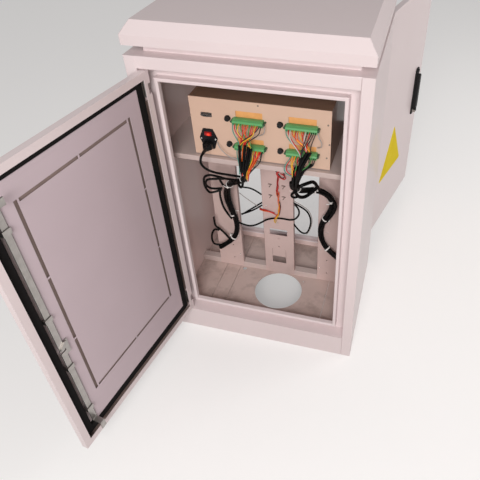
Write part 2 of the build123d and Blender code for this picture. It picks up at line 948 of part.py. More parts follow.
def rod_piece(up):
    """A flat locking rod whose cranked end goes behind the gutter's hem."""
    near = spindle_height + stem_radius + rod_shoulder if up else spindle_height - slant - rod_drop
    edge = opening_top if up else opening_bottom
    crank = crank_top if up else crank_bottom
    tip = edge - hook_withdrawn if up else edge + hook_withdrawn
    visible = front + rod_level + rod_thickness
    hook = gutter_front + gutter_hem + hook_play + rod_thickness
    with BuildPart() as rod:
        with BuildSketch(lengthways(rod_left)):
            folded(
                [(visible, near), (visible, crank), (hook, crank), (hook, tip)],
                rod_thickness,
                Side.LEFT if up else Side.RIGHT,
            )
        extrude(amount=rod_right - rod_left)
        depth = (front + rod_level, visible)
        middle = (cam_radius + slant) / 2
        rim = rod_pin_radius + rod_play + rod_eye_rim
        if up:
            eye = (spindle_x + stem_radius + rod_play, rod_right)
            block(eye, depth, (spindle_height - slant - rim, near + rod_play))
            rod_slot(spindle_x + middle)
        else:
            reach = (cam_radius - slant) / 2 + rim
            eye = (spindle_x - middle - reach, spindle_x - stem_radius - rod_play)
            block(eye, depth, (near - rod_joggle, spindle_height + slant + rim))
            block((eye[0], rod_right), depth, (near - rod_joggle, near))
            rod_slot(spindle_x - middle)
    return rod.part


def rod_guides_piece():
    """Four staples on the skin that keep the rods in line."""
    with BuildPart() as guides:
        wide = (rod_left - rod_play - guide_wall, rod_right + rod_play + guide_wall)
        depth = front + rod_level + rod_thickness + rod_play
        for height in (
            crank_bottom + guide_end_below,
            spindle_height - guide_below,
            spindle_height + guide_above,
            crank_top - guide_end_above,
        ):
            long = (height - guide_length / 2, height + guide_length / 2)
            block(wide, (front + sheet, depth + guide_wall), long)
            block(
                (wide[0] + guide_wall, wide[1] - guide_wall),
                (front + sheet, depth),
                long,
                mode=Mode.SUBTRACT,
            )
    return guides.part


door_pieces = {
    "door_skin": door_skin_piece(),
    "door_liner": door_liner_piece(),
    "door_gasket": door_gasket_piece(),
    "hinge_leaves": hinge_leaves_piece(),
    "handle_housing": handle_housing_piece(),
    "lock_spindle": lock_spindle_piece(),
    "lock_cam": lock_cam_piece(),
    "handle_lever": handle_lever_piece(),
    "rod_upper": rod_piece(True),
    "rod_lower": rod_piece(False),
    "rod_guides": rod_guides_piece(),
}
hinge_axis = Axis((hinge_x, hinge_y, 0), (0, 0, 1))
for place, turn, opened in (("front", 0, front_door_angle), ("rear", 180, rear_door_angle)):
    for name, piece in door_pieces.items():
        hung = piece.rotate(hinge_axis, -opened).rotate(Axis.Z, turn)
        hung.label = f"{place}_{name}"
        export_step(hung, f"parts/{place}_{name}.step")

# Controller unit

unit_x = (unit_left + unit_right) / 2
case_top = unit_top - lid_rise

with BuildPart() as unit_case:
    block((unit_left, unit_right), (panel_back, unit_back - unit_panel), (unit_bottom, case_top))
    block(
        (unit_left + unit_sheet, unit_right - unit_sheet),
        (panel_back, unit_back - unit_panel),
        (unit_bottom + unit_sheet, case_top),
        mode=Mode.SUBTRACT,
    )
    with Locations((unit_x, (unit_front + unit_back) / 2, shelf_height)):
        with GridLocations(foot_spacing_x, foot_spacing_y, 2, 2):
            Cylinder(foot_radius, unit_foot, align=(Align.CENTER, Align.CENTER, Align.MIN))
unit_case.part.label = "unit_case"
export_step(unit_case.part, "parts/unit_case.step")

with BuildPart() as unit_lid:
    block((unit_left, unit_right), (panel_back, unit_back - unit_panel), (case_top, unit_top))
    block(
        (unit_left + lid_border, unit_right - lid_border),
        (panel_back + lid_border, unit_back - unit_panel - lid_border),
        (case_top + unit_sheet, unit_top),
        mode=Mode.SUBTRACT,
    )
unit_lid.part.label = "unit_lid"
export_step(unit_lid.part, "parts/unit_lid.step")

with BuildPart() as unit_front_panel:
    block((unit_left, unit_right), (unit_back - unit_panel, unit_back), (unit_bottom, unit_top))
unit_front_panel.part.label = "unit_front_panel"
export_step(unit_front_panel.part, "parts/unit_front_panel.step")

window_length = block_length - 2 * window_margin
inlet_x, inlet_z = inlet_centre
serial_x, serial_z = serial_centre
inlet_middle = (rocker_z + plug_z) / 2
inlet_height = rocker_z - plug_z + 2 * inlet_margin

with BuildPart() as wiring_panel:
    block((unit_left, unit_right), (unit_front, panel_back), (unit_bottom, unit_top))
    for x in (left_block_x, right_block_x):
        for z, above in (
            (upper_block_z, upper_window_above),
            (lower_block_z, lower_window_above),
        ):
            block(
                (x - window_length / 2, x + window_length / 2),
                (unit_front, panel_back),
                (z - window_below, z + above),
                mode=Mode.SUBTRACT,
            )
    with BuildSketch(upright(unit_front)):
        with Locations(*fuse_centres):
            Circle(fuse_radius + fuse_wall + inlet_play)
        with Locations((inlet_x, inlet_middle)):
            Rectangle(inlet_width + 2 * inlet_play, inlet_height + 2 * inlet_play)
        with Locations(serial_centre):
            SlotOverall(*serial_opening)
    extrude(amount=-unit_panel, mode=Mode.SUBTRACT)
wiring_panel.part.label = "wiring_panel"
export_step(wiring_panel.part, "parts/wiring_panel.step")


def about(centre, corners):
    """Move an outline's corners so that they lie round a centre."""
    return [(centre[0] + x, centre[1] + z) for x, z in corners]


with BuildPart() as serial_socket:
    with BuildSketch(upright(unit_front)):
        with Locations(serial_centre):
            RectangleRounded(*serial_flange, bend)
    extrude(amount=serial_flange_height)
    with BuildSketch(upright(unit_front)):
        with BuildLine() as shell:
            FilletPolyline(*about(serial_centre, shell_corners), radius=shell_corner, close=True)
        make_face(shell.edges())
    extrude(amount=shell_height)
    with BuildSketch(upright(unit_front - shell_height)):
        with BuildLine() as well:
            FilletPolyline(*about(serial_centre, shell_corners), radius=shell_corner, close=True)
            offset(amount=-shell_wall, mode=Mode.REPLACE)
        make_face(well.edges())
    extrude(amount=-shell_well, mode=Mode.SUBTRACT)
    with BuildSketch(upright(unit_front)):
        with Locations((serial_x - serial_screw_x, serial_z), (serial_x + serial_screw_x, serial_z)):
            RegularPolygon(serial_screw_radius, 6)
    extrude(amount=serial_screw_height)
serial_socket.part.label = "serial_socket"
export_step(serial_socket.part, "parts/serial_socket.step")

flange_front = unit_front - inlet_flange
nose_x, nose_z = plug_nose
rocker_room = rocker_width / 2 + inlet_play
rocker_opening = rocker_radius + rocker_sink

with BuildPart() as mains_inlet:
    with BuildSketch(upright(unit_front)):
        with BuildLine() as outline:
            FilletPolyline(*about(inlet_centre, inlet_corners), radius=bend, close=True)
        make_face(outline.edges())
    extrude(amount=inlet_flange)
    with BuildSketch(upright(unit_front)):
        with Locations((inlet_x, inlet_middle)):
            Rectangle(inlet_width, inlet_height)
    extrude(amount=-inlet_depth)
    block(
        (inlet_x - rocker_room, inlet_x + rocker_room),
        (flange_front, unit_front + rocker_radius + rocker_well_play),
        (rocker_z - rocker_opening, rocker_z + rocker_opening),
        mode=Mode.SUBTRACT,
    )
    block(
        (inlet_x - nose_x / 2 - inlet_play, inlet_x + nose_x / 2 + inlet_play),
        (flange_front, unit_front + plug_nose_depth + plug_well_play),
        (plug_z - nose_z / 2 - inlet_play, plug_z + nose_z / 2 + inlet_play),
        mode=Mode.SUBTRACT,
    )
    with BuildSketch(upright(flange_front)):
        with Locations((inlet_x - inlet_screw_x, inlet_z), (inlet_x + inlet_screw_x, inlet_z)):
            Circle(inlet_screw_radius)
    extrude(amount=inlet_screw_height)
mains_inlet.part.label = "mains_inlet"
export_step(mains_inlet.part, "parts/mains_inlet.step")

rocker_y = unit_front + rocker_sink
tilt = math.radians(rocker_swing / 2)
hollow_y = rocker_y - rocker_hollow_distance * math.cos(tilt)
hollow_z = rocker_z + rocker_hollow_distance * math.sin(tilt)

with BuildPart() as rocker_switch:
    with BuildSketch(lengthways(inlet_x - rocker_width / 2)):
        with Locations((rocker_y, rocker_z)):
            Circle(rocker_radius)
        # The hollow face leans to the side that is pressed in
        with Locations((hollow_y, hollow_z)):
            Circle(rocker_hollow_radius, mode=Mode.SUBTRACT)
    extrude(amount=rocker_width)
rocker_switch.part.label = "rocker_switch"
export_step(rocker_switch.part, "parts/rocker_switch.step")

plug_back = flange_front - inlet_play
neck_front = plug_back - plug_length - plug_neck_length

with BuildPart() as mains_plug:
    block(
        (inlet_x - nose_x / 2, inlet_x + nose_x / 2),
        (plug_back, unit_front + plug_nose_depth),
        (plug_z - nose_z / 2, plug_z + nose_z / 2),
    )
    with BuildSketch(upright(plug_back)):
        with Locations((inlet_x, plug_z)):
            RectangleRounded(*plug_body, plug_corner)
    extrude(amount=plug_length)
    with BuildSketch(upright(plug_back - plug_length)):
        with Locations((inlet_x, plug_z)):
            RectangleRounded(*plug_body, plug_corner)
    with BuildSketch(upright(neck_front)):
        with Locations((inlet_x, plug_z - plug_drop)):
            Circle(plug_neck_radius)
    loft()
    with BuildSketch(upright(neck_front)):
        with Locations((inlet_x, plug_z - plug_drop)):
            Circle(boot_radius)
    extrude(amount=boot_length, taper=boot_taper)
mains_plug.part.label = "mains_plug"
export_step(mains_plug.part, "parts/mains_plug.step")

with BuildPart() as fuse_holders:
    with BuildSketch(upright(unit_front)):
        with Locations(*fuse_centres):
            Circle(fuse_radius + fuse_flange)
    extrude(amount=fuse_flange_height)
    with BuildSketch(upright(unit_front)):
        with Locations(*fuse_centres):
            Circle(fuse_radius + fuse_wall)
    extrude(amount=-fuse_holder_depth)
    with BuildSketch(upright(unit_front - fuse_flange_height)):
        with Locations(*fuse_centres):
            Circle(fuse_radius + fuse_play)
    extrude(amount=-fuse_bore_depth, mode=Mode.SUBTRACT)
fuse_holders.part.label = "fuse_holders"
export_step(fuse_holders.part, "parts/fuse_holders.step")

cap_back = unit_front - fuse_flange_height - cap_gap
slot_width, slot_length, slot_depth = cap_slot

for number, (x, z) in enumerate(fuse_centres, start=1):
    with BuildPart() as fuse_cap:
        with BuildSketch(upright(cap_back)):
            with Locations((x, z)):
                Circle(fuse_radius + cap_overlap)
        extrude(amount=cap_height)
        chamfer(fuse_cap.faces().sort_by(Axis.Y)[0].edges(), cap_edge)
        with BuildSketch(upright(cap_back)):
            with Locations((x, z)):
                Circle(fuse_radius)
        extrude(amount=-fuse_stem)
        with BuildSketch(upright(cap_back - cap_height)):
            with Locations((x, z)):
                Rectangle(slot_width, slot_length, rotation=cap_slot_turn)
        extrude(amount=-slot_depth, mode=Mode.SUBTRACT)
    fuse_cap.part.label = f"fuse_cap_{number}"
    export_step(fuse_cap.part, f"parts/fuse_cap_{number}.step")

board_front = panel_back + board_gap
plug_front = unit_front - block_reach

for hand, centre in (("left", left_block_x), ("right", right_block_x)):
    with BuildPart() as terminal_blocks:
        for z in (upper_block_z, lower_block_z):
            with BuildSketch(lengthways(centre - block_length / 2)):
                with BuildLine() as profile:
                    Polyline(*[(unit_front - reach, z + rise) for reach, rise in block_profile], close=True)
                make_face(profile.edges())
            extrude(amount=block_length)
            with BuildSketch(upright(plug_front)):
                with Locations((centre, z - way_drop)):
                    with GridLocations(block_pitch, 0, block_ways, 1):
                        Rectangle(way_width, way_height)
            extrude(amount=-way_depth, mode=Mode.SUBTRACT)
            block(
                (centre - window_length / 2 + tang_play, centre + window_length / 2 - tang_play),
                (unit_front, board_front),
                (z - tang_below, z + tang_above),
            )
    terminal_blocks.part.label = f"terminal_blocks_{hand}"
    export_step(terminal_blocks.part, f"parts/terminal_blocks_{hand}.step")

with BuildPart() as circuit_boards:
    for centre in (left_block_x, right_block_x):
        half = block_length / 2 + board_margin
        block(
            (centre - half, centre + half),
            (board_front, board_front + board_thickness),
            (board_bottom, board_top),
        )
circuit_boards.part.label = "circuit_boards"
export_step(circuit_boards.part, "parts/circuit_boards.step")

# Cables


def cord_radii(name, points):
    """The bend at each corner is as large as the two runs beside it allow."""
    radii = []
    for before, corner, after in zip(points, points[1:], points[2:]):
        coming = Vector(*corner) - Vector(*before)
        going = Vector(*after) - Vector(*corner)
        half_turn = math.radians(coming.get_angle(going)) / 2
        radii.append(bend_share * min(coming.length, going.length) / math.tan(half_turn))
    print(name, "bend radii", [round(radius, 1) for radius in radii])
    return radii


def cord_route(name, points):
    """Straight runs joined by tangent arcs."""
    with BuildLine() as route:
        FilletPolyline(*points, radius=cord_radii(name, points))
    return route.wire()


def tube(route, radius):
    """Sweep a round section along a route."""
    with BuildSketch(Plane(origin=route @ 0, z_dir=route % 0)) as section:
        Circle(radius)
    return sweep(section.sketch, path=route, mode=Mode.PRIVATE)


loom_front = unit_front - loom_hang
loom_seat = plate_front - loom_radius - loom_play
cord_seat = plate_front - cross_cable_radius - loom_play

left_loom_points = [
    (-42, loom_front, 692),
    (-42, loom_front + 5, 660),
    (-47, loom_front + 26, 615),
    (-72, -105, 576),
    (-113, -76, 543),
    (-148, -48, 500),
    (-163, -24, 444),
    (-161, -9, 382),
    (-146, loom_seat, 322),
    (-148, loom_seat, 266),
    (-173, -7, 222),
    (-212, -18, 196),
]
right_loom_points = [
    (112, loom_front, 690),
    (106, loom_front + 8, 650),
    (98, loom_front + 28, 606),
    (101, -108, 572),
    (122, -78, 553),
    (148, -52, 540),
    (172, -34, 508),
    (183, -22, 466),
    (172, -12, 418),
    (154, -5, 372),
    (146, loom_seat, 322),
    (158, loom_seat, 278),
    (190, -10, 250),
    (226, -20, 232),
]
power_cord_points = [
    (-146, loom_front - 18.9, 709),
    (-146, loom_front - 29, 709),
    (-147, loom_front - 36, 701),
    (-148, loom_front - 36, 687),
    (-142, loom_front - 27, 665),
    (-124, loom_front - 10, 643),
    (-97, loom_front + 8, 629),
    (-60, loom_front + 21.2, 618),
]
cross_cable_points = [
    (-133.5, -8.5, 319),
    (-110, -3, 305),
    (-85, -1, 308),
    (-60, 0, 325),
    (-36, 4, 343),
    (-10, cord_seat, 352),
    (18, cord_seat, 355),
    (43, cord_seat, 353),
    (62, 5.2, 361),
    (74, 15, 378),
    (66, 25, 397),
    (47, 31, 408),
]


def fan(centre, level, end):
    """The spread of single wires from a terminal block to the head of its loom."""
    with BuildPart() as spread:
        with BuildSketch(Plane.XY.offset(level)):
            with Locations((centre, plug_front - loom_play - fan_thickness / 2)):
                Rectangle(block_length - 2 * fan_margin, fan_thickness)
        with BuildSketch(Plane.XY.offset(end[2])):
            with Locations((end[0], end[1])):
                Rectangle(fan_width, fan_width)
        loft()
    return spread.part


for hand, centre, points in (
    ("left", left_block_x, left_loom_points),
    ("right", right_block_x, right_loom_points),
):
    with BuildPart() as loom:
        add(tube(cord_route(f"loom_{hand}", points), loom_radius))
        add(fan(centre, upper_block_z - fan_drop, points[0]))
        add(fan(centre, lower_block_z - fan_drop, points[0]))
    loom.part.label = f"loom_{hand}"
    export_step(loom.part, f"parts/loom_{hand}.step")

for name, points, radius in (
    ("power_cord", power_cord_points, power_cord_radius),
    ("cross_cable", cross_cable_points, cross_cable_radius),
):
    with BuildPart() as cord:
        add(tube(cord_route(name, points), radius))
    cord.part.label = name
    export_step(cord.part, f"parts/{name}.step")

with BuildPart() as cable_ties:
    # Each loom has a tie on the middle of some of its runs, counted from the unit
    for points, tied_runs in ((left_loom_points, {2, 4, 7, 9}), (right_loom_points, {2, 4, 6, 8, 11})):
        for run in sorted(tied_runs):
            start, end = Vector(*points[run]), Vector(*points[run + 1])
            with BuildSketch(Plane(origin=(start + end) / 2, z_dir=end - start)):
                Circle(loom_radius + tie_play + tie_thickness)
                Circle(loom_radius + tie_play, mode=Mode.SUBTRACT)
            extrude(amount=tie_width / 2, both=True)
cable_ties.part.label = "cable_ties"
export_step(cable_ties.part, "parts/cable_ties.step")
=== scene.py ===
# %% [markdown]
# # A traffic signal controller cabinet with both doors open
#
# The solids of the cabinet come from its construction files as a fixed frame.
# This script gives them their finishes, and adds what is too fine or too soft
# for the solids: the wires, the screws and the plain yellow field on a door.
# Everything is in metres, with X to the right of somebody who faces the wiring
# side, Y away from them and Z up. Sizes are written in millimetres and
# multiplied by MM where a shape is made.

# %% Load the frame
import math
import random
import bpy
import bmesh
from mathutils import Matrix, Vector


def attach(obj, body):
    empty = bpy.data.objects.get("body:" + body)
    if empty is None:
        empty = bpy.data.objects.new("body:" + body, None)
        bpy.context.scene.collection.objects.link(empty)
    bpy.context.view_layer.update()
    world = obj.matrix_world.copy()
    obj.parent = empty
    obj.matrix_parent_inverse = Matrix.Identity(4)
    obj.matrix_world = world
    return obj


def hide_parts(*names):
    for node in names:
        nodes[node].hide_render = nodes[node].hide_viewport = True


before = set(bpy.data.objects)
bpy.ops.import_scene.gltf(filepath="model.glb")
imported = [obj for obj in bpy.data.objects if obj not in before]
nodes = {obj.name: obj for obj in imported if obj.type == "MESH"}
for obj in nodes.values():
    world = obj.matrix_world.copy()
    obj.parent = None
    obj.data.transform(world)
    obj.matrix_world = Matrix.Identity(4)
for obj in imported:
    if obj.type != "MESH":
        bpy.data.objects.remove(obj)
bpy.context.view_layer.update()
MM = 0.001

# %% [markdown]
# ## The camera
#
# The photograph looks down at about 38 degrees from the front, a little to the
# right. Its middle was cut from a larger picture, so the lens is shifted: the
# point where the camera really aims lies right of the middle and above it.

# %% Camera
CAMERA_PLACE = Vector((381.5, -1240.7, 1458.1)) * MM
CAMERA_AIM = Vector((46.3, 0, 458.3)) * MM
CAMERA_ROLL = math.radians(-1.034)
FOCAL_PIXELS = 509.3
PHOTO_SIDE = 480
OPTICAL_CENTRE = (290.15, 196.44)
SENSOR_WIDTH = 36


def new_object(name, data):
    """Put a mesh, a lamp or a camera into the scene."""
    made = bpy.data.objects.new(name, data)
    bpy.context.scene.collection.objects.link(made)
    return made


def aimed(place, aim):
    """The turn that points a camera or a lamp from its place at another one."""
    return (Vector(aim) - Vector(place)).to_track_quat("-Z", "Y")


camera_data = bpy.data.cameras.new("camera")
camera_data.sensor_width = SENSOR_WIDTH
camera_data.lens = FOCAL_PIXELS / PHOTO_SIDE * SENSOR_WIDTH
camera_data.shift_x = 0.5 - OPTICAL_CENTRE[0] / PHOTO_SIDE
camera_data.shift_y = OPTICAL_CENTRE[1] / PHOTO_SIDE - 0.5
camera = new_object("camera", camera_data)
camera.location = CAMERA_PLACE
roll = Matrix.Rotation(CAMERA_ROLL, 3, "Z").to_quaternion()
camera.rotation_mode = "QUATERNION"
camera.rotation_quaternion = aimed(CAMERA_PLACE, CAMERA_AIM) @ roll
bpy.context.scene.camera = camera
print("lens", round(camera_data.lens, 2),
      "shift", round(camera_data.shift_x, 4), round(camera_data.shift_y, 4))

# %% [markdown]
# ## Node trees
#
# Every finish is a tree of nodes, and so is each shape that repeats or follows a
# line. Written out in full, a node takes one line for its kind and one more for
# each setting and each link. The bench below says it in one call: an input is
# given either a plain value or the output of another node.

# %% A bench for node trees
class NodeBench:
    """Short ways to add nodes to one tree and to join their sockets."""

    def __init__(self, tree):
        self.tree = tree

    def add(self, kind, **settings):
        """A new node with its own settings."""
        node = self.tree.nodes.new(kind)
        for setting, value in settings.items():
            setattr(node, setting, value)
        return node

    def join(self, value, socket):
        """Link an output to an input, or give the input a plain value."""
        if isinstance(value, bpy.types.NodeSocket):
            self.tree.links.new(value, socket)
        else:
            socket.default_value = value

    def feed(self, node, **inputs):
        """Join values to a node's inputs and give back its outputs; _ stands for a space."""
        for label, value in inputs.items():
            self.join(value, node.inputs[label.replace("_", " ")])
        return node.outputs

    def maths(self, operation, *values):
        """One sum with numbers."""
        node = self.add("ShaderNodeMath", operation=operation)
        for value, socket in zip(values, node.inputs):
            self.join(value, socket)
        return node.outputs["Value"]

    def vector(self, operation, first, second):
        """One sum with two vectors, or with a vector and a number that scales it."""
        node = self.add("ShaderNodeVectorMath", operation=operation)
        self.join(first, node.inputs[0])
        self.join(second, node.inputs["Scale" if operation == "SCALE" else 1])
        return node.outputs["Value" if operation == "DISTANCE" else "Vector"]

    def mix(self, share, first, second):
        """A colour between two others."""
        node = self.add("ShaderNodeMix", data_type="RGBA")
        return self.feed(node, Factor=share, A=first, B=second)["Result"]

    def ramp(self, value, low, high):
        """0 where a value is low, 1 where it is high, and in a straight line between."""
        node = self.add("ShaderNodeMapRange")
        return self.feed(node, Value=value, From_Min=low, From_Max=high)["Result"]

    def place(self):
        """Where a point lies, in the object's own coordinates."""
        return self.add("ShaderNodeTexCoord").outputs["Object"]

    def noise(self, scale, detail, roughness):
        """Clouds that stay fixed to the object."""
        return self.feed(self.add("ShaderNodeTexNoise"), Vector=self.place(), Scale=scale,
                         Detail=detail, Roughness=roughness)["Fac"]

    def shader(self):
        """The shader that a new material starts with."""
        return self.tree.nodes["Principled BSDF"]


def start_group(name, inputs, outputs, kind="ShaderNodeTree"):
    """A node group with named sockets: its bench, its given values and its end node."""
    group = bpy.data.node_groups.new(name, kind)
    for label, (sort, value) in inputs.items():
        socket = group.interface.new_socket(label, in_out="INPUT", socket_type="NodeSocket" + sort)
        if value is not None:
            socket.default_value = value
    for label, sort in outputs.items():
        group.interface.new_socket(label, in_out="OUTPUT", socket_type="NodeSocket" + sort)
    bench = NodeBench(group)
    return bench, bench.add("NodeGroupInput").outputs, bench.add("NodeGroupOutput")


print("bench:", ", ".join(name for name in vars(NodeBench) if not name.startswith("_")))

# %% [markdown]
# ## Floor and light
#
# A pale floor would throw its light up into the open cabinet and wash out the
# deep shade that makes the inside readable. So the floor is pale only to the
# camera and in reflections, and a middling grey for the light that it bounces.
# One broad soft lamp stands in front on the right, above head height. A weaker
# one far to the right lights that side and the outer face of the far door.

# %% Floor and lamps
FLOOR_SIDE = 30
FLOOR_SEEN, FLOOR_BOUNCED = (0.70, 0.69, 0.68, 1), (0.30, 0.26, 0.245, 1)
FLOOR_GLIMMER = 0.30
LAMP_AIM = (0, 0, 0.5)
LAMP_SIDE = 1.6


def plain_floor():
    """A pale floor that takes the shadow but bounces little light."""
    bpy.ops.mesh.primitive_plane_add(size=FLOOR_SIDE, location=(0, 0, 0))
    floor = bpy.context.object
    floor.name = "studio_floor"
    material = bpy.data.materials.new("studio_floor")
    material.use_nodes = True
    bench = NodeBench(material.node_tree)
    rays = bench.add("ShaderNodeLightPath").outputs
    seen = rays["Is Camera Ray"]
    for kind in ("Is Glossy Ray", "Is Transmission Ray"):
        seen = bench.maths("MAXIMUM", seen, rays[kind])
    bench.feed(bench.shader(), Roughness=0.9, Specular_IOR_Level=0.1,
               Base_Color=bench.mix(seen, FLOOR_BOUNCED, FLOOR_SEEN),
               Emission_Strength=bench.maths("MULTIPLY", seen, FLOOR_GLIMMER))
    floor.data.materials.append(material)


def area_lamp(name, place, power, colour):
    """A square soft lamp that points at the middle of the cabinet."""
    lamp_data = bpy.data.lights.new(name, "AREA")
    lamp_data.shape = "SQUARE"
    lamp_data.size = LAMP_SIDE
    lamp_data.energy = power
    lamp_data.color = colour
    lamp = new_object(name, lamp_data)
    lamp.location = place
    lamp.rotation_euler = aimed(place, LAMP_AIM).to_euler()
    print(name, "at", place, "power", power)


plain_floor()
area_lamp("lamp_front", (0.6, -3.1, 2.1), 88, (1.0, 0.965, 0.95))
area_lamp("lamp_right", (2.8, 1.1, 1.5), 30, (1.0, 0.97, 0.955))

world = bpy.data.worlds.new("studio")
world.use_nodes = True
NodeBench(world.node_tree).feed(world.node_tree.nodes["Background"],
                                Color=(1.0, 0.97, 0.96, 1), Strength=0.33)
bpy.context.scene.world = world
bpy.context.scene.view_settings.view_transform = "Standard"

# %% [markdown]
# ## Shared surface effects
#
# Two effects turn up in nearly every finish: a slow drift of colour, and a fine
# unevenness of the surface. Each is a shader node group, built once, so that a
# material only states how strong and how large it wants them.

# %% Shader node groups
def make_drift():
    """Slow changes of tone: clouds that darken a colour and roughen its gloss a little."""
    bench, given, result = start_group(
        "tone_drift",
        {"Color": ("Color", (0.8, 0.8, 0.8, 1)), "Dark Color": ("Color", (0.5, 0.5, 0.5, 1)),
         "Scale": ("Float", 4.0), "Amount": ("Float", 0.2), "Roughness": ("Float", 0.5)},
        {"Color": "Color", "Roughness": "Float"},
    )
    clouds = bench.noise(given["Scale"], detail=4, roughness=0.6)
    share = bench.maths("MULTIPLY", bench.ramp(clouds, 0.35, 0.75), given["Amount"])
    most_added = 0.3
    bench.feed(result, Color=bench.mix(share, given["Color"], given["Dark Color"]),
               Roughness=bench.maths("MULTIPLY_ADD", share, most_added, given["Roughness"]))
    return bench.tree


def make_unevenness():
    """A fine bump, such as the orange peel of sprayed paint or the grain of a moulding."""
    bench, given, result = start_group(
        "fine_unevenness", {"Scale": ("Float", 500.0), "Height": ("Float", 0.1)},
        {"Normal": "Vector"},
    )
    grain = bench.noise(given["Scale"], detail=2, roughness=0.5)
    bump = bench.feed(bench.add("ShaderNodeBump"), Distance=0.5 * MM, Strength=given["Height"],
                      Height=grain)
    bench.feed(result, Normal=bump["Normal"])
    return bench.tree


drift = make_drift()
unevenness = make_unevenness()


def finish(name, colour, dark, roughness, drift_scale=4.0, drift_amount=0.2,
           grain_scale=500.0, grain_height=0.1, metallic=0.0, coat=0.0, specular=0.5):
    """One Principled material whose colour drifts and whose surface is finely uneven."""
    material = bpy.data.materials.new(name)
    material.use_nodes = True
    bench = NodeBench(material.node_tree)
    tone = bench.feed(bench.add("ShaderNodeGroup", name="tone", node_tree=drift),
                      Color=(*colour, 1), Dark_Color=(*dark, 1), Scale=drift_scale,
                      Amount=drift_amount, Roughness=roughness)
    grain = bench.feed(bench.add("ShaderNodeGroup", node_tree=unevenness),
                       Scale=grain_scale, Height=grain_height)
    bench.feed(bench.shader(), Metallic=metallic, Coat_Weight=coat, Specular_IOR_Level=specular,
               Base_Color=tone["Color"], Roughness=tone["Roughness"], Normal=grain["Normal"])
    return material


def wear(material, *names):
    """Give CAD nodes a material."""
    for name in names:
        for slot in nodes[name].material_slots:
            slot.material = material
    print(material.name, "on", len(names), "solids")


# %% [markdown]
# ## The paint
#
# The cabinet is powder coated in a warm off-white. Outside it is nearly even, with
# a faint orange peel. Inside, the same sheet is given a browner, darker tone, which
# is painted shade of the deep box, and one panel has both faces, so its colour
# can't be chosen by piece. A mask does it: a point counts as inside where it lies
# within the walls, measured in the object's own coordinates.

# %% Paint inside and out
def make_inside_mask():
    """1 within a box about the origin and 0 outside it, with sharp edges."""
    bench, given, result = start_group(
        "inside_mask",
        {"Half Width": ("Float", 0.2992), "Half Depth": ("Float", 0.1765),
         "Top": ("Float", 0.9868)},
        {"Inside": "Float"},
    )
    place = bench.feed(bench.add("ShaderNodeSeparateXYZ"), Vector=bench.place())
    across, along, up = (
        bench.maths("LESS_THAN", bench.maths("ABSOLUTE", place[axis]), given[limit])
        for axis, limit in (("X", "Half Width"), ("Y", "Half Depth"), ("Z", "Top")))
    bench.feed(result, Inside=bench.maths("MULTIPLY", bench.maths("MULTIPLY", across, along), up))
    return bench.tree


def paint_inside_shade(material, colour, dark):
    """Give the inside of a painted piece a duller, browner tone: painted shade."""
    bench = NodeBench(material.node_tree)
    tone = bench.tree.nodes["tone"]
    inside = bench.add("ShaderNodeGroup", node_tree=make_inside_mask()).outputs["Inside"]
    for label, inner in (("Color", colour), ("Dark Color", dark)):
        socket = tone.inputs[label]
        bench.join(bench.mix(inside, socket.default_value, (*inner, 1)), socket)


outside_paint = finish("outside_paint", (0.80, 0.70, 0.705), (0.70, 0.60, 0.60), 0.38,
                       drift_scale=2.5, drift_amount=0.25, grain_scale=700, grain_height=0.12,
                       coat=0.15)
# Within the walls the paint turns browner and darker: painted shade of the deep cabinet.
paint_inside_shade(outside_paint, (0.82, 0.65, 0.62), (0.60, 0.45, 0.41))
# The plates, the shelf and the sill get darker, browner finishes: painted shade inside the
# cabinet.
shaded_inside_paint = finish("shaded_inside_paint", (0.64, 0.49, 0.46), (0.46, 0.33, 0.30), 0.5,
                      drift_scale=6, drift_amount=0.35, grain_scale=600, grain_height=0.12)
shaded_shelf_paint = finish("shaded_shelf_paint", (0.60, 0.49, 0.46), (0.44, 0.34, 0.31), 0.42,
                     drift_scale=8, drift_amount=0.3, grain_scale=600, grain_height=0.12)
# The door linings and their ledge are darker than the outside paint: painted shade on the inner
# faces of the open doors.
shaded_door_lining_paint = finish("shaded_door_lining_paint", (0.62, 0.515, 0.555), (0.52, 0.43, 0.46), 0.5,
                           drift_scale=3, drift_amount=0.3, grain_scale=700)

wear(outside_paint, "side_panel_left", "side_panel_right", "top_panel", "plinth_frame",
     "roof_neck", "roof_hood", "gutter_frame_front", "gutter_frame_rear", "front_door_skin",
     "rear_door_skin")
wear(shaded_inside_paint, "mounting_plate_left", "mounting_plate_centre", "mounting_plate_right")
wear(shaded_shelf_paint, "shelf", "cross_sill")
wear(shaded_door_lining_paint, "front_door_liner", "rear_door_liner")

# %% [markdown]
# ## The dirty floor
#
# The floor plates carry rust-brown smears, mostly at the left, where water and
# swarf have lain. The stain is a sharp noise that only shows where a broad one
# lets it, and the broad one is pushed towards the left by the position across the
# cabinet. The mounting plates get a fainter stain from the same group.

# %% Floor finish
def make_stain():
    """Ragged stains that gather towards one side of the cabinet."""
    bench, given, result = start_group(
        "ragged_stain",
        {"Color": ("Color", (0.7, 0.6, 0.55, 1)), "Stain Color": ("Color", (0.2, 0.12, 0.09, 1)),
         "Scale": ("Float", 12.0), "Amount": ("Float", 0.5), "Lean": ("Float", 0.6)},
        {"Color": "Color"},
    )
    broad = bench.noise(5.0, detail=3, roughness=0.55)
    fine = bench.noise(given["Scale"], detail=6, roughness=0.7)
    place = bench.feed(bench.add("ShaderNodeSeparateXYZ"), Vector=bench.place())
    leftwards = bench.maths("MULTIPLY", place["X"], -1)
    leaning = bench.maths("MULTIPLY_ADD", leftwards, given["Lean"], broad)
    ragged = bench.ramp(bench.maths("ADD", leaning, fine), 1.0, 1.35)
    share = bench.maths("MULTIPLY", ragged, given["Amount"])
    bench.feed(result, Color=bench.mix(share, given["Color"], given["Stain Color"]))
    return bench.tree


stain = make_stain()


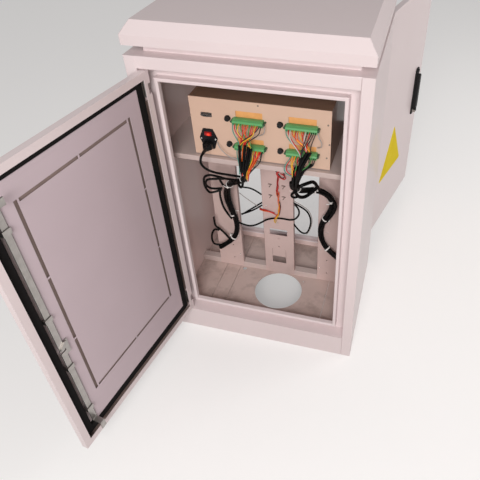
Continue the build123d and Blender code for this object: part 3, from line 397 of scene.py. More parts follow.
def add_stain(material, colour, scale, amount, lean):
    """Put stains over a finish, between its drifting tone and the shader."""
    bench = NodeBench(material.node_tree)
    marks = bench.feed(bench.add("ShaderNodeGroup", node_tree=stain),
                       Color=bench.tree.nodes["tone"].outputs["Color"],
                       Stain_Color=(*colour, 1), Scale=scale, Amount=amount, Lean=lean)
    bench.feed(bench.shader(), Base_Color=marks["Color"])


floor_paint = finish("floor_paint", (0.64, 0.51, 0.47), (0.46, 0.345, 0.305), 0.5,
                     drift_scale=7, drift_amount=0.4, grain_height=0.15)
add_stain(floor_paint, (0.14, 0.09, 0.07), scale=22.0, amount=0.55, lean=0.5)
add_stain(shaded_inside_paint, (0.26, 0.17, 0.13), scale=9.0, amount=0.25, lean=0.1)
wear(floor_paint, "floor_panel", "floor_side_plates")

# %% [markdown]
# ## Metal, rubber and plastic
#
# Rods, cams, hinges and guides are zinc plated; the seal is matt foam; handles,
# inlet, plug and fuse caps are black mouldings; the unit's case is dark brown
# with a beige wiring panel.

# %% Hardware finishes
zinc = finish("zinc_plate", (0.44, 0.42, 0.40), (0.26, 0.245, 0.225), 0.3, drift_scale=60,
              drift_amount=0.4, grain_scale=900, grain_height=0.05, metallic=1.0)
foam = finish("seal_foam", (0.010, 0.009, 0.009), (0.022, 0.020, 0.020), 0.85, drift_scale=80,
              drift_amount=0.5, grain_scale=900, grain_height=0.5, specular=0.1)
handle_black = finish("handle_black", (0.012, 0.012, 0.013), (0.02, 0.02, 0.02), 0.5,
                      drift_scale=30, drift_amount=0.4, grain_scale=1800, grain_height=0.2,
                      specular=0.2)
unit_brown = finish("unit_brown", (0.24, 0.14, 0.09), (0.15, 0.083, 0.052), 0.35, drift_scale=5,
                    drift_amount=0.4, grain_scale=900, grain_height=0.12, coat=0.2)
unit_beige = finish("unit_beige", (0.69, 0.485, 0.37), (0.56, 0.385, 0.285), 0.5, drift_scale=6,
                    drift_amount=0.25, grain_scale=900)
moulded_black = finish("moulded_black", (0.008, 0.008, 0.009), (0.016, 0.016, 0.016), 0.22,
                       drift_scale=40, drift_amount=0.4, grain_scale=1500, grain_height=0.06,
                       specular=0.28)
socket_metal = finish("socket_metal", (0.20, 0.19, 0.18), (0.08, 0.075, 0.07), 0.3, drift_scale=90,
                      drift_amount=0.4, grain_scale=1200, grain_height=0.03, metallic=1.0)
terminal_green = finish("terminal_green", (0.12, 0.40, 0.14), (0.06, 0.27, 0.09), 0.30,
                        drift_scale=60, drift_amount=0.3, grain_scale=1500, grain_height=0.05)
board_amber = finish("board_amber", (0.85, 0.42, 0.15), (0.62, 0.28, 0.08), 0.45,
                     drift_scale=50, drift_amount=0.5, grain_scale=1200, grain_height=0.05)

wear(zinc, "hinge_brackets_front", "hinge_brackets_rear")
for side in ("front", "rear"):
    wear(zinc, f"{side}_hinge_leaves", f"{side}_lock_cam", f"{side}_lock_spindle",
         f"{side}_rod_upper", f"{side}_rod_lower", f"{side}_rod_guides")
    wear(foam, f"{side}_door_gasket")
    wear(handle_black, f"{side}_handle_housing", f"{side}_handle_lever")
wear(unit_brown, "unit_case", "unit_lid")
wear(unit_beige, "wiring_panel", "unit_front_panel")
wear(socket_metal, "serial_socket")
wear(moulded_black, "mains_inlet", "mains_plug", "fuse_holders", "fuse_cap_1", "fuse_cap_2",
     "fuse_cap_3", "fuse_cap_4")
wear(terminal_green, "terminal_blocks_left", "terminal_blocks_right")
wear(board_amber, "circuit_boards")

# %% [markdown]
# The rocker switch is lit by a small lamp inside it, so its red is bright in one
# spot and deep at the edges. The glow falls off with the distance from a centre,
# and drives the emission colour.

# %% Glowing rocker
ROCKER_MIDDLE = Vector((-145.0, -139.0, 741.0))
GLOW_RADIUS = 7


def make_glow():
    """A colour that fades with distance from a centre, for something lit from inside."""
    bench, given, result = start_group(
        "glow_spot",
        {"Centre": ("Vector", (0, 0, 0)), "Radius": ("Float", 0.008),
         "Color": ("Color", (1, 0.1, 0.05, 1))},
        {"Color": "Color"},
    )
    reach = bench.vector("DISTANCE", bench.place(), given["Centre"])
    fade = bench.ramp(bench.maths("DIVIDE", reach, given["Radius"]), 1.0, 0.2)
    unlit = (0.03, 0, 0, 1)
    bench.feed(result, Color=bench.mix(fade, unlit, given["Color"]))
    return bench.tree


rocker_red = finish("rocker_red", (0.30, 0.008, 0.008), (0.18, 0.004, 0.004), 0.2, drift_scale=90)
rocker = NodeBench(rocker_red.node_tree)
glow = rocker.feed(rocker.add("ShaderNodeGroup", node_tree=make_glow()),
                   Centre=ROCKER_MIDDLE * MM, Radius=GLOW_RADIUS * MM, Color=(1.0, 0.06, 0.02, 1))
rocker.feed(rocker.shader(), Emission_Color=glow["Color"], Emission_Strength=1.0)
wear(rocker_red, "rocker_switch")

# %% [markdown]
# ## Strands that follow a line
#
# The looms, sleeves, cords and wires are all round strands along a path, and a
# loom is several of them side by side. One Geometry Nodes tree makes them all: it
# takes a curve, copies it, spreads the copies over a disc that turns slowly along
# the way, and gives each one a round section. The copies are set out like the
# seeds of a sunflower, so any number of strands packs evenly. A curve with a
# bevel would do for one wire, but not for a twisted bundle.

# %% The tree for strands
GOLDEN_ANGLE = math.pi * (3 - math.sqrt(5))
WAVES_PER_METRE = 14
NEXT_STRAND = 7.3


def end_tree(bench, shape, material):
    """Make a tree's shape real and give it its material."""
    real = bench.feed(bench.add("GeometryNodeRealizeInstances"), Geometry=shape)["Geometry"]
    painted = bench.add("GeometryNodeSetMaterial")
    return bench.feed(painted, Geometry=real, Material=material)["Geometry"]


def make_strand_tree():
    """Copies of a curve, spread over a slowly turning disc and given a round section."""
    bench, given, result = start_group(
        "strands_on_a_line",
        {"Line": ("Geometry", None), "Count": ("Int", 1), "Strand Radius": ("Float", 0.001),
         "Spread": ("Float", 0.0), "Turns per Metre": ("Float", 0.0), "Looseness": ("Float", 0.0),
         "Step": ("Float", 0.004), "Sides": ("Int", 10), "Seed": ("Float", 1.0),
         "Material": ("Material", None)},
        {"Strands": "Geometry"}, "GeometryNodeTree",
    )
    add, feed, maths, vector = bench.add, bench.feed, bench.maths, bench.vector
    even = feed(add("GeometryNodeResampleCurve", mode="LENGTH"),
                Curve=given["Line"], Length=given["Step"])
    copied = feed(add("GeometryNodeDuplicateElements", domain="SPLINE"),
                  Geometry=even["Curve"], Amount=given["Count"])
    number = copied["Duplicate Index"]

    along = add("GeometryNodeSplineParameter").outputs["Length"]
    turned = maths("MULTIPLY", maths("MULTIPLY", along, given["Turns per Metre"]), math.tau)
    angle = maths("ADD", maths("MULTIPLY", number, GOLDEN_ANGLE), turned)
    share = maths("DIVIDE", maths("ADD", number, 0.5), given["Count"])
    reach = maths("MULTIPLY", maths("SQRT", share), given["Spread"])
    across = add("GeometryNodeInputNormal").outputs["Normal"]
    ahead = add("GeometryNodeInputTangent").outputs["Tangent"]
    other = vector("CROSS_PRODUCT", ahead, across)
    first = vector("SCALE", across, maths("MULTIPLY", maths("COSINE", angle), reach))
    second = vector("SCALE", other, maths("MULTIPLY", maths("SINE", angle), reach))

    spot = feed(add("ShaderNodeCombineXYZ"), X=maths("MULTIPLY", along, WAVES_PER_METRE),
                Y=maths("MULTIPLY", number, NEXT_STRAND), Z=given["Seed"])
    noise = feed(add("ShaderNodeTexNoise"), Vector=spot["Vector"], Scale=1, Detail=1)
    centred = vector("SUBTRACT", noise["Color"], (0.5, 0.5, 0.5))
    wander = vector("SCALE", centred, given["Looseness"])
    moved = feed(add("GeometryNodeSetPosition"), Geometry=copied["Geometry"],
                 Offset=vector("ADD", vector("ADD", first, second), wander))

    section = feed(add("GeometryNodeCurvePrimitiveCircle", mode="RADIUS"),
                   Resolution=given["Sides"], Radius=given["Strand Radius"])
    skin = feed(add("GeometryNodeCurveToMesh"), Curve=moved["Geometry"],
                Profile_Curve=section["Curve"], Fill_Caps=True)
    feed(result, Strands=end_tree(bench, skin["Mesh"], given["Material"]))
    return bench.tree


strand_tree = make_strand_tree()
print("strand tree", len(strand_tree.nodes), "nodes")

# %% [markdown]
# A tree's result is turned into a plain mesh once, and the object with the
# modifier is thrown away. Each line is a NURBS curve whose control points are the
# route's own points, so it bends as softly as a real cable.

# %% From a tree to a finished piece
def run_tree(source, tree, **values):
    """Run a Geometry Nodes tree on an object in the scene and give back the plain mesh."""
    modifier = source.modifiers.new("tree", "NODES")
    modifier.node_group = tree
    sockets = {item.name: item.identifier for item in tree.interface.items_tree
               if item.item_type == "SOCKET" and item.in_out == "INPUT"}
    for name, value in values.items():
        modifier[sockets[name.replace("_", " ")]] = value
    ready = source.evaluated_get(bpy.context.evaluated_depsgraph_get())
    mesh = bpy.data.meshes.new_from_object(ready)
    bpy.data.objects.remove(source)
    return mesh


def settle(name, mesh, material, body="cabinet", smooth=True):
    """Turn a mesh into a piece with one material that rides on a body."""
    shape = bmesh.new()
    shape.from_mesh(mesh)
    bmesh.ops.recalc_face_normals(shape, faces=shape.faces)
    for face in shape.faces:
        face.smooth = smooth
        face.material_index = 0
    shape.to_mesh(mesh)
    shape.free()
    mesh.materials.clear()
    mesh.materials.append(material)
    mesh.name = name
    piece = new_object(name, mesh)
    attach(piece, body)
    print(name, "faces", len(mesh.polygons))
    return piece


def soft_line(name, routes):
    """A curve object with one NURBS spline for each route, given in millimetres."""
    curve = bpy.data.curves.new(name, "CURVE")
    curve.dimensions = "3D"
    curve.resolution_u = 8
    for route in routes:
        spline = curve.splines.new("NURBS")
        spline.points.add(len(route) - 1)
        for point, place in zip(spline.points, route):
            point.co = (*(Vector(place) * MM), 1)
        spline.order_u = 3
        spline.use_endpoint_u = True
    return new_object(name, curve)


def strands(name, routes, material, radius, **values):
    """A piece of one or more strands along each route; the radius is in millimetres."""
    mesh = run_tree(soft_line(name + "_line", routes), strand_tree, Strand_Radius=radius * MM,
                    Material=material, **values)
    return settle(name, mesh, material)


# %% [markdown]
# ## The two looms
#
# Each group of wires from the unit becomes one thick black loom that swings from
# plate to plate. A real loom is a bundle of sheathed cables under a few ties, so
# each is drawn as seven strands with a slow twist, and takes the place of the
# plain tube in the frame.

# %% Looms
left_loom_route = [
    (-42, -164, 692), (-42, -159, 660), (-47, -138, 615), (-72, -105, 576), (-113, -76, 543),
    (-148, -48, 500), (-163, -24, 444), (-161, -9, 382), (-146, -1.8, 322), (-148, -1.8, 266),
    (-173, -7, 222), (-212, -18, 196),
]
right_loom_route = [
    (112, -164, 690), (106, -156, 650), (98, -136, 606), (101, -108, 572), (122, -78, 553),
    (148, -52, 540), (180, -36, 512), (189, -22, 472), (176, -12, 420), (154, -5, 372),
    (146, -1.8, 322), (158, -1.8, 278), (190, -10, 250), (226, -20, 232),
]
sheath_black = finish("sheath_black", (0.004, 0.004, 0.004), (0.008, 0.008, 0.008), 0.18,
                      drift_scale=50, drift_amount=0.5, grain_scale=400, specular=0.09)
LOOM_STRAND_RADIUS = 3.9
loom_look = dict(Count=7, Spread=7.1 * MM, Turns_per_Metre=1.6, Looseness=0.8 * MM, Sides=12,
                 Seed=2.0)
for side, route in (("left", left_loom_route), ("right", right_loom_route)):
    loom = strands(f"{side}_loom_bundle", [route], sheath_black, LOOM_STRAND_RADIUS, **loom_look)
    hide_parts(f"loom_{side}")

# %% [markdown]
# The mains cord and the cross cable are single round cords on the same routes as
# their solids.

# %% Cords
power_cord_route = [
    (-146, -182.9, 709), (-146, -193, 709), (-147, -200, 701), (-148, -200, 687),
    (-142, -191, 665), (-124, -174, 643), (-97, -156, 629), (-60, -142.8, 618),
]
cross_cable_route = [
    (-133.5, -8.5, 319), (-110, -3, 305), (-85, -1, 308), (-60, 0, 325), (-36, 4, 343),
    (-10, 5.7, 352), (18, 5.7, 355), (43, 5.7, 353), (62, 5.2, 361), (74, 15, 378),
    (66, 25, 397), (47, 31, 408),
]
for name, route, radius in (("power_cord", power_cord_route, 3.4),
                            ("cross_cable", cross_cable_route, 3.0)):
    cord = strands(f"{name}_sheath", [route], sheath_black, radius, Sides=14, Step=0.003)
    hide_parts(name)

# %% [markdown]
# ## Sleeves
#
# Before they join the loom, the wires of each connector run in a few black
# sleeves of their own. They hang side by side and are as glossy as the looms. A
# few more black cables leave the looms and come back to them, and the thicker
# ones among those are branches of a loom.

# %% Sleeves and side cables
sleeve_routes = {
    "left_a": [(-43, -172, 743), (-45, -173, 705), (-47, -168, 661), (-49, -152, 630),
               (-56, -134, 608)],
    "left_b": [(-28, -172, 745), (-32, -175, 708), (-41, -168, 662), (-47, -150, 628),
               (-54, -130, 604)],
    "left_c": [(-19, -170, 739), (-25, -172, 704), (-36, -166, 659), (-43, -150, 626),
               (-52, -128, 602)],
    "left_d": [(-12, -170, 735), (-19, -172, 703), (-31, -165, 658), (-41, -146, 622),
               (-50, -124, 598)],
    "right_f": [(93, -164, 640), (90, -156, 622), (92, -146, 602), (97, -130, 590)],
    "right_a": [(105, -168, 684), (98, -166, 647), (96, -154, 612), (99, -132, 592)],
    "right_b": [(124, -172, 727), (120, -171, 703), (112, -166, 662), (103, -152, 612),
                (102, -128, 590)],
    "right_c": [(148, -170, 746), (135, -171, 719), (122, -168, 690), (111, -160, 644),
                (102, -140, 604)],
    "right_d": [(139, -171, 746), (128, -173, 724), (116, -169, 690), (106, -162, 640),
                (100, -144, 604)],
    "right_e": [(150, -162, 705), (138, -164, 695), (122, -162, 672), (110, -154, 634)],
}
side_cables = {
    "left_loop_outer": [(-130, -88, 560), (-160, -106, 583), (-187, -112, 580), (-204, -90, 537),
                        (-205, -75, 496), (-196, -64, 474), (-165, -50, 486)],
    "left_loop_inner": [(-140, -80, 553), (-180, -102, 563), (-194, -95, 545), (-202, -80, 515),
                        (-187, -65, 494), (-162, -50, 492)],
    "left_second_cord": [(-62, -120, 588), (-110, -104, 572), (-150, -84, 560), (-160, -68, 536),
                         (-154, -56, 508)],
    "left_beside": [(-168, -50, 490), (-178, -40, 468), (-182, -28, 422), (-176, -20, 372),
                    (-159, -10, 334)],
    "left_low_loop_a": [(-172, -8, 228), (-190, -12, 262), (-208, -16, 285), (-222, -20, 299),
                        (-218, -24, 339)],
    "left_low_loop_b": [(-206, -20, 278), (-222, -20, 286), (-236, -24, 258), (-238, -22, 218),
                        (-226, -18, 202), (-200, -14, 206)],
    "left_tie_loop": [(-56, -140, 610), (-50, -152, 596), (-60, -150, 582), (-76, -128, 586),
                      (-84, -110, 580)],
    "right_eye": [(98, -132, 588), (88, -136, 580), (86, -134, 566), (97, -130, 560),
                  (106, -122, 564)],
    "left_trunk_side_branch": [(-78, -104, 572), (-116, -72, 540), (-139, -50, 504),
                               (-151, -30, 446), (-150, -16, 384), (-140, -9, 334)],
    "right_trunk_side_branch": [(142, -66, 548), (170, -50, 530), (194, -40, 500),
                                (201, -28, 468), (188, -20, 424), (166, -12, 384)],
    "right_upper_branch": [(102, -126, 594), (112, -128, 605), (130, -112, 606), (141, -94, 601),
                           (148, -76, 574), (152, -58, 545)],
    "right_lower_branch": [(98, -134, 586), (100, -122, 560), (116, -104, 545), (132, -88, 552),
                           (146, -72, 562)],
}
SLEEVE_RADII = {"left": 3.8, "right": 4.1}
SIDE_CABLE_RADIUS, BRANCH_RADIUS = 3.6, 5.2
for name, route in sleeve_routes.items():
    radius = SLEEVE_RADII[name.split("_")[0]]
    sleeve = strands(f"sleeve_{name}", [route], sheath_black, radius, Sides=12)
for name, route in side_cables.items():
    radius = BRANCH_RADIUS if name.endswith("branch") else SIDE_CABLE_RADIUS
    cable = strands(name, [route], sheath_black, radius, Sides=12)

# %% [markdown]
# ## Coloured wires
#
# Up to sixteen thin wires leave each connector, cross one another and slip into
# the sleeves. Each gets its own route: out of its way, down in front of the panel
# with a small bow that differs from its neighbours', and into the mouth of a
# sleeve. The bow comes from a seeded random number, so each run makes the same
# tangle.

# %% Wire routes
WAYS, WAY_PITCH = 16, 5.08
WAY_MOUTH, CLEAR_OF_BLOCK = -150, -156
BLOCK_CENTRES = {"left": -25.5, "right": 118.5}
UPPER_WAYS, LOWER_WAYS = 793.4, 715.4
dice = random.Random(11)
wire_routes = {}


def way_x(centre, way):
    """How far right a way of a connector lies."""
    return centre + (way - (WAYS - 1) / 2) * WAY_PITCH


def lead(block, level, way, colour, mouth):
    """One wire from a way of a connector to a point where it disappears."""
    x = way_x(BLOCK_CENTRES[block], way)
    start = Vector((x, WAY_MOUTH, level))
    over = Vector((x, CLEAR_OF_BLOCK - dice.uniform(0, 8), level - 3))
    end = Vector(mouth)
    run = end - over
    side = Vector((dice.uniform(-7, 7), -dice.uniform(0, 6), 0))
    high = over + run * 0.3 + side + Vector((-run.x * 0.12, 0, 0))
    low = over + run * 0.75 + side * 0.5 + Vector((run.x * 0.1, 0, 0))
    tail = end + Vector((-4 if block == "left" else -1, 5, -16))
    route = [tuple(point) for point in (start, over, high, low, end, tail)]
    wire_routes.setdefault(colour, []).append(route)


left_mouths = {"a": (-43, -171, 742), "b": (-28, -171, 744), "c": (-19, -169, 738),
               "d": (-12, -169, 734)}
for way, colour, mouth in (
    (0, "teal", "a"), (1, "red", "b"), (2, "green", "c"), (3, "yellow", "d"), (4, "green", "c"),
    (5, "red", "a"), (6, "orange", "d"), (7, "red", "b"), (8, "orange", "a"), (9, "green", "d"),
    (10, "red", "b"), (11, "orange", "c"), (12, "yellow", "a"), (13, "red", "a"),
    (14, "black", "a"), (15, "black", "b"),
):
    lead("left", UPPER_WAYS, way, colour, left_mouths[mouth])
right_mouths = {"b": (123, -171, 728), "c": (147, -169, 747), "d": (138, -170, 747)}
for way, colour, mouth in (
    (0, "teal", "b"), (1, "red", "b"), (2, "white", "b"), (3, "orange", "c"), (4, "yellow", "c"),
    (5, "red", "d"), (6, "orange", "c"), (7, "yellow", "c"), (8, "orange", "d"), (9, "red", "c"),
    (10, "white", "d"), (11, "black", "b"), (12, "red", "d"), (13, "black", "b"),
    (14, "black", "b"), (15, "black", "c"),
):
    lead("right", UPPER_WAYS, way, colour, right_mouths[mouth])
for way, colour, mouth in (
    (1, "teal", (-52, -164, 655)), (3, "black", (-48, -164, 655)), (5, "red", (-44, -164, 650)),
    (7, "white", (-42, -162, 650)), (9, "green", (-33, -162, 640)),
    (10, "yellow", (-32, -165, 645)), (11, "orange", (-30, -167, 645)),
    (11.5, "red", (-28, -168, 648)), (12, "yellow", (-29, -168, 642)),
    (13, "orange", (-27, -168, 645)), (13.5, "red", (-26, -167, 640)),
    (14, "red", (-27, -166, 636)), (15, "black", (-30, -165, 640)),
    (14.5, "black", (-33, -162, 630)),
):
    lead("left", LOWER_WAYS, way, colour, mouth)
for way, colour, mouth in (
    (3, "yellow", (101, -170, 674)), (4, "orange", (104, -170, 680)),
    (4.5, "yellow", (100, -171, 668)), (5, "green", (103, -170, 672)),
    (6, "red", (107, -170, 676)), (7, "black", (109, -168, 672)),
    (12, "black", (122, -165, 680)), (13, "green", (120, -165, 676)),
    (14, "black", (124, -164, 678)), (15, "black", (126, -164, 680)),
):
    lead("right", LOWER_WAYS, way, colour, mouth)
wire_routes["red"].append([(95, -150, 714), (94, -156, 710), (86, -168, 702), (82, -170, 686),
                           (88, -172, 674), (97, -168, 668)])
wire_routes["teal"].append([(91, -150, 714), (90, -155, 710), (79, -170, 698), (77, -172, 683),
                            (84, -173, 670), (96, -168, 664)])
wire_routes["grey"] = [
    [(17, -139, 796), (22, -150, 786), (20, -152, 772), (4, -146, 763)],
    [(158, -139, 800), (162, -151, 786), (175, -153, 768), (173, -152, 752), (160, -139, 744)],
    [(-120, -139, 722), (-112, -150, 714), (-97, -152, 698), (-81, -150, 684), (-59, -150, 682)],
    [(-133, 14, 431), (-109, 20, 404), (-80, 24, 381), (-60, 26, 366)],
    [(54, 17, 428), (82, 25, 406), (104, 29, 386), (115, 31, 344), (107, 29, 302), (96, 25, 284)],
]
wire_routes["orange"].append([(-33, -160, 752), (-35, -170, 738), (-38, -173, 708),
                              (-43, -165, 668), (-47, -152, 640)])
wire_routes["red"].append([(-22, -160, 752), (-23, -170, 736), (-28, -172, 702), (-37, -162, 664),
                           (-44, -150, 634)])
print({colour: len(routes) for colour, routes in wire_routes.items()})

# %% [markdown]
# Behind the loom, in the gaps between the plates, a few black cords cross the
# opening; on the middle plate a twisted pair hangs from a knot and ends in two
# bare tails.

# %% Loose cords behind and the hanging pair
wire_routes["black"] += [
    [(-1, 6, 545), (8, 4, 536), (22, 0, 522), (31, 3, 532), (26, 4, 543)],
    [(6, 5, 534), (6, 2, 505), (0, 4, 478), (3, 2, 465), (3, 5, 442), (11, 3, 421), (12, 5, 394),
     (5, 3, 367)],
]
wire_routes["red"] += [
    [(12, 6, 548), (7, 4, 536), (2, 2, 540), (18, 1, 519), (32, 3, 528), (22, 5, 540)],
    [(7, 4, 534), (2, 4, 505), (4, 2, 480), (-3, 3, 470), (6, 4, 455)],
    [(-65, 17, 372), (-51, 5, 380), (-27, 2.5, 382), (-9, 2.5, 376)],
]
wire_routes["orange"] += [
    [(5, 3, 470), (-3, 3, 462), (6, 2, 442), (9, 5, 421), (9, 3, 394), (2, 3, 368), (-4, 4, 352)],
    [(-65, 17, 369), (-51, 5, 376), (-27, 3, 378), (-9, 2.5, 372), (5, 2, 366)],
]
wire_routes["yellow"].append([(3, 2, 370), (-8, 2, 352), (-13, 3, 340), (-8, 4, 331)])
wire_routes["red"] += [
    [(10, 4, 548), (0, 2, 542), (6, 2, 530), (9, 5, 520), (5, 2, 500), (8, 2, 484), (1, 2, 470),
     (8, 3, 452)],
    [(14, 4, 540), (28, 1, 536), (34, 4, 524), (24, 2, 516), (12, 4, 528)],
    [(-64, 15, 377), (-48, 3, 384), (-28, 0.5, 384), (-6, 0.5, 372)],
]
wire_routes["orange"].append(
    [(8, 2, 468), (10, 1, 452), (4, 1, 436), (6, 1, 418), (11, 1, 402), (8, 1, 384),
     (-2, 2, 366), (-10, 2, 350)])
wire_routes["yellow"].append([(9, 2, 420), (6, 1, 402), (4, 1, 386), (6, 1, 370), (-4, 1, 356),
                              (-6, 3, 336)])
wire_routes["white"].append([(-2, 3, 352), (-10, 4, 340), (2, 4, 326)])
strands("cords_behind", [
    [(-131, 16, 453), (-107, 22, 453), (-81, 26, 443), (-60, 30, 424)],
    [(-131, 14, 337), (-104, 22, 356), (-60, 28, 392)],
    [(-131, 12, 341), (-99, 20, 349), (-60, 26, 382)],
    [(51, 14, 424), (79, 22, 402), (100, 26, 383), (111, 28, 344), (103, 26, 303), (93, 22, 287),
     (72, 14, 301), (52, 14, 334)],
], sheath_black, radius=2.8, Sides=10)

# %% [markdown]
# The insulation is soft vinyl with a dull gloss, one finish for each colour.

# %% Wire insulation
INSULATION = {
    "red": (0.58, 0.015, 0.012), "orange": (0.80, 0.13, 0.015), "yellow": (0.84, 0.50, 0.03),
    "green": (0.05, 0.26, 0.06), "teal": (0.06, 0.30, 0.24), "white": (0.66, 0.60, 0.56),
    "grey": (0.42, 0.38, 0.36), "black": (0.015, 0.015, 0.015),
}
WIRE_RADIUS = 1.35
for colour, routes in wire_routes.items():
    shade = tuple(0.7 * channel for channel in INSULATION[colour])
    vinyl = finish(f"vinyl_{colour}", INSULATION[colour], shade, 0.35, drift_scale=80,
                   drift_amount=0.5)
    strands(f"wires_{colour}", routes, vinyl, WIRE_RADIUS, Sides=8)

# %% [markdown]
# ## Small things set out by rule
#
# Ties, screws and slotted terminals are all one small shape repeated at many
# places. A second Geometry Nodes tree sets copies of a shape on the points of a
# mesh; each point says which way its copy faces and how far it is turned about
# that direction. The shapes have only a few dozen faces each.

# %% The tree for repeated shapes
def make_copy_tree():
    """Copies of one shape on points, each faced along the point's own direction."""
    bench, given, result = start_group(
        "copies_on_points",
        {"Points": ("Geometry", None), "Shape": ("Object", None), "Size": ("Float", None),
         "Turn": ("Float", None), "Seed": ("Int", None), "Material": ("Material", None)},
        {"Copies": "Geometry"}, "GeometryNodeTree",
    )
    add, feed, maths = bench.add, bench.feed, bench.maths

    def attribute(name, kind):
        """What the points carry under a name."""
        return feed(add("GeometryNodeInputNamedAttribute", data_type=kind), Name=name)["Attribute"]

    shape = feed(add("GeometryNodeObjectInfo", transform_space="ORIGINAL"), Object=given["Shape"])
    align = feed(add("FunctionNodeAlignRotationToVector", axis="Z"),
                 Vector=attribute("facing", "FLOAT_VECTOR"))
    chance = feed(add("FunctionNodeRandomValue", data_type="FLOAT"), Seed=given["Seed"])
    angle = maths("ADD", attribute("turn", "FLOAT"), maths("MULTIPLY", chance[1], given["Turn"]))
    about = feed(add("FunctionNodeAxisAngleToRotation"), Axis=(0, 0, 1), Angle=angle)
    turned = feed(add("FunctionNodeRotateRotation", rotation_space="LOCAL"),
                  Rotation=align["Rotation"], Rotate_By=about["Rotation"])
    placed = feed(add("GeometryNodeInstanceOnPoints"), Points=given["Points"],
                  Instance=shape["Geometry"], Rotation=turned["Rotation"], Scale=given["Size"])
    feed(result, Copies=end_tree(bench, placed["Instances"], given["Material"]))
    return bench.tree


copy_tree = make_copy_tree()


def copies(name, shape, spots, material, size=1.0, turn=0.0, seed=1, smooth=False):
    """A piece of copies of a shape; a spot is a place in mm, a direction and a turn in degrees."""
    mesh = bpy.data.meshes.new(name + "_points")
    mesh.from_pydata([Vector(place) * MM for place, _, _ in spots], [], [])
    mesh.attributes.new("facing", "FLOAT_VECTOR", "POINT")
    mesh.attributes.new("turn", "FLOAT", "POINT")
    for number, (_, direction, degrees) in enumerate(spots):
        mesh.attributes["facing"].data[number].vector = Vector(direction).normalized()
        mesh.attributes["turn"].data[number].value = math.radians(degrees)
    shape_object = new_object(name + "_shape", shape)
    result = run_tree(new_object(name + "_points", mesh), copy_tree, Shape=shape_object,
                      Size=size, Turn=turn, Seed=seed, Material=material)
    bpy.data.objects.remove(shape_object)
    print(name, "copies", len(spots))
    return settle(name, result, material, smooth=smooth)


# %% [markdown]
# A screw head is turned, so it is drawn as rings about its own axis: a foot, a
# domed top and a sunk middle. Rings joined by walls also make the ties, the hooks,
# the door seal and other small solids, so that step is a helper of its own.

# %% Screw shapes
def join_rings(shape, rings, closed=False):
    """Join rings of points in millimetres by walls; the ends meet or else are capped."""
    rings = [[shape.verts.new(Vector(point) * MM) for point in ring] for ring in rings]
    for ring, following in zip(rings, rings[1:] + rings[:1] if closed else rings[1:]):
        for here in range(len(ring)):
            there = (here + 1) % len(ring)
            shape.faces.new((ring[here], ring[there], following[there], following[here]))
    if not closed:
        shape.faces.new(list(reversed(rings[0])))
        shape.faces.new(rings[-1])


def to_mesh(shape, name):
    """Write a finished shape to a mesh."""
    mesh = bpy.data.meshes.new(name)
    shape.to_mesh(mesh)
    shape.free()
    return mesh


def turned_shape(name, profile, sides=14):
    """A closed solid of revolution about Z from (radius, height) pairs in millimetres."""
    shape = bmesh.new()
    turns = [math.tau * i / sides for i in range(sides)]
    join_rings(shape, [[(radius * math.cos(turn), radius * math.sin(turn), height)
                        for turn in turns] for radius, height in profile])
    return to_mesh(shape, name)


pan_head = turned_shape("pan_head", [(1.9, -0.4), (2.9, 0.0), (2.9, 0.7), (2.3, 1.5), (1.2, 1.8),
                                     (0.9, 0.9)])
flush_screw = turned_shape("flush_screw", [(1.5, -0.6), (1.5, 0.25), (1.1, 0.3), (0.9, -0.2)], 10)

TOWARDS = (0, -1, 0)
PANEL_FACE = -132.6
PLATE_FACE = 9.0
INLET_X, INLET_Z = -146, 727
SOCKET_X, SOCKET_Z = -145, 801
dark_screw = finish("dark_screw", (0.30, 0.26, 0.23), (0.18, 0.15, 0.13), 0.4, drift_scale=300,
                    drift_amount=0.5, metallic=1.0)
bright_screw = finish("bright_screw", (0.85, 0.84, 0.82), (0.6, 0.58, 0.55), 0.22, drift_scale=300,
                      drift_amount=0.3, metallic=1.0)


def pan_screws(name, y, places, material, size, seed):
    """Pan-head screws in a face that looks at the viewer, each turned by chance."""
    copies(name, pan_head, [((x, y, z), TOWARDS, 0) for x, z in places], material, size,
           turn=math.tau, seed=seed, smooth=True)


pan_screws("panel_screws", PANEL_FACE, ((1, 843), (185, 810), (190, 753), (184, 711)),
           dark_screw, 0.85, seed=3)
pan_screws("plate_screws", PLATE_FACE, ((-148, 239), (-147.5, 150), (148, 239), (147.5, 150)),
           bright_screw, 0.9, seed=4)
pan_screws("inlet_screws", PANEL_FACE - 3.0, [(INLET_X + x, INLET_Z) for x in (-20, 20)],
           bright_screw, 0.8, seed=5)
pan_screws("socket_screws", PANEL_FACE - 1.0, [(SOCKET_X + x, SOCKET_Z) for x in (-12.5, 12.5)],
           bright_screw, 0.75, seed=6)

# %% [markdown]
# ## Screws of the connectors
#
# Each way of a connector is clamped by a small slotted screw in its sloping top,
# and each end has a thumb screw in a dark ear.

# %% Connector screws
SLOPE = Vector((0, -4, 6)).normalized()
EAR_REACH = 44.2
clamp_spots, ear_spots = [], []
for centre in BLOCK_CENTRES.values():
    for level in (797, 719):
        clamp_spots += [((way_x(centre, way), PANEL_FACE - 14.0, level + 5.0), SLOPE, 0)
                        for way in range(WAYS)]
        ear_spots += [((centre + side * EAR_REACH, PANEL_FACE - 9, level + 0.5), TOWARDS, 0)
                      for side in (-1, 1)]
copies("clamp_screws", flush_screw, clamp_spots, dark_screw, turn=math.tau, seed=6)
ear = turned_shape("connector_ear", [(2.6, -9), (3.2, -8.5), (3.2, 4), (3.6, 4.5), (3.6, 7.5),
                                     (2.8, 8.5), (1.4, 8.6), (1.0, 7.4)], 12)
ear_green = finish("ear_green", (0.03, 0.10, 0.045), (0.02, 0.06, 0.03), 0.3, drift_scale=80)
copies("connector_ears", ear, ear_spots, ear_green)

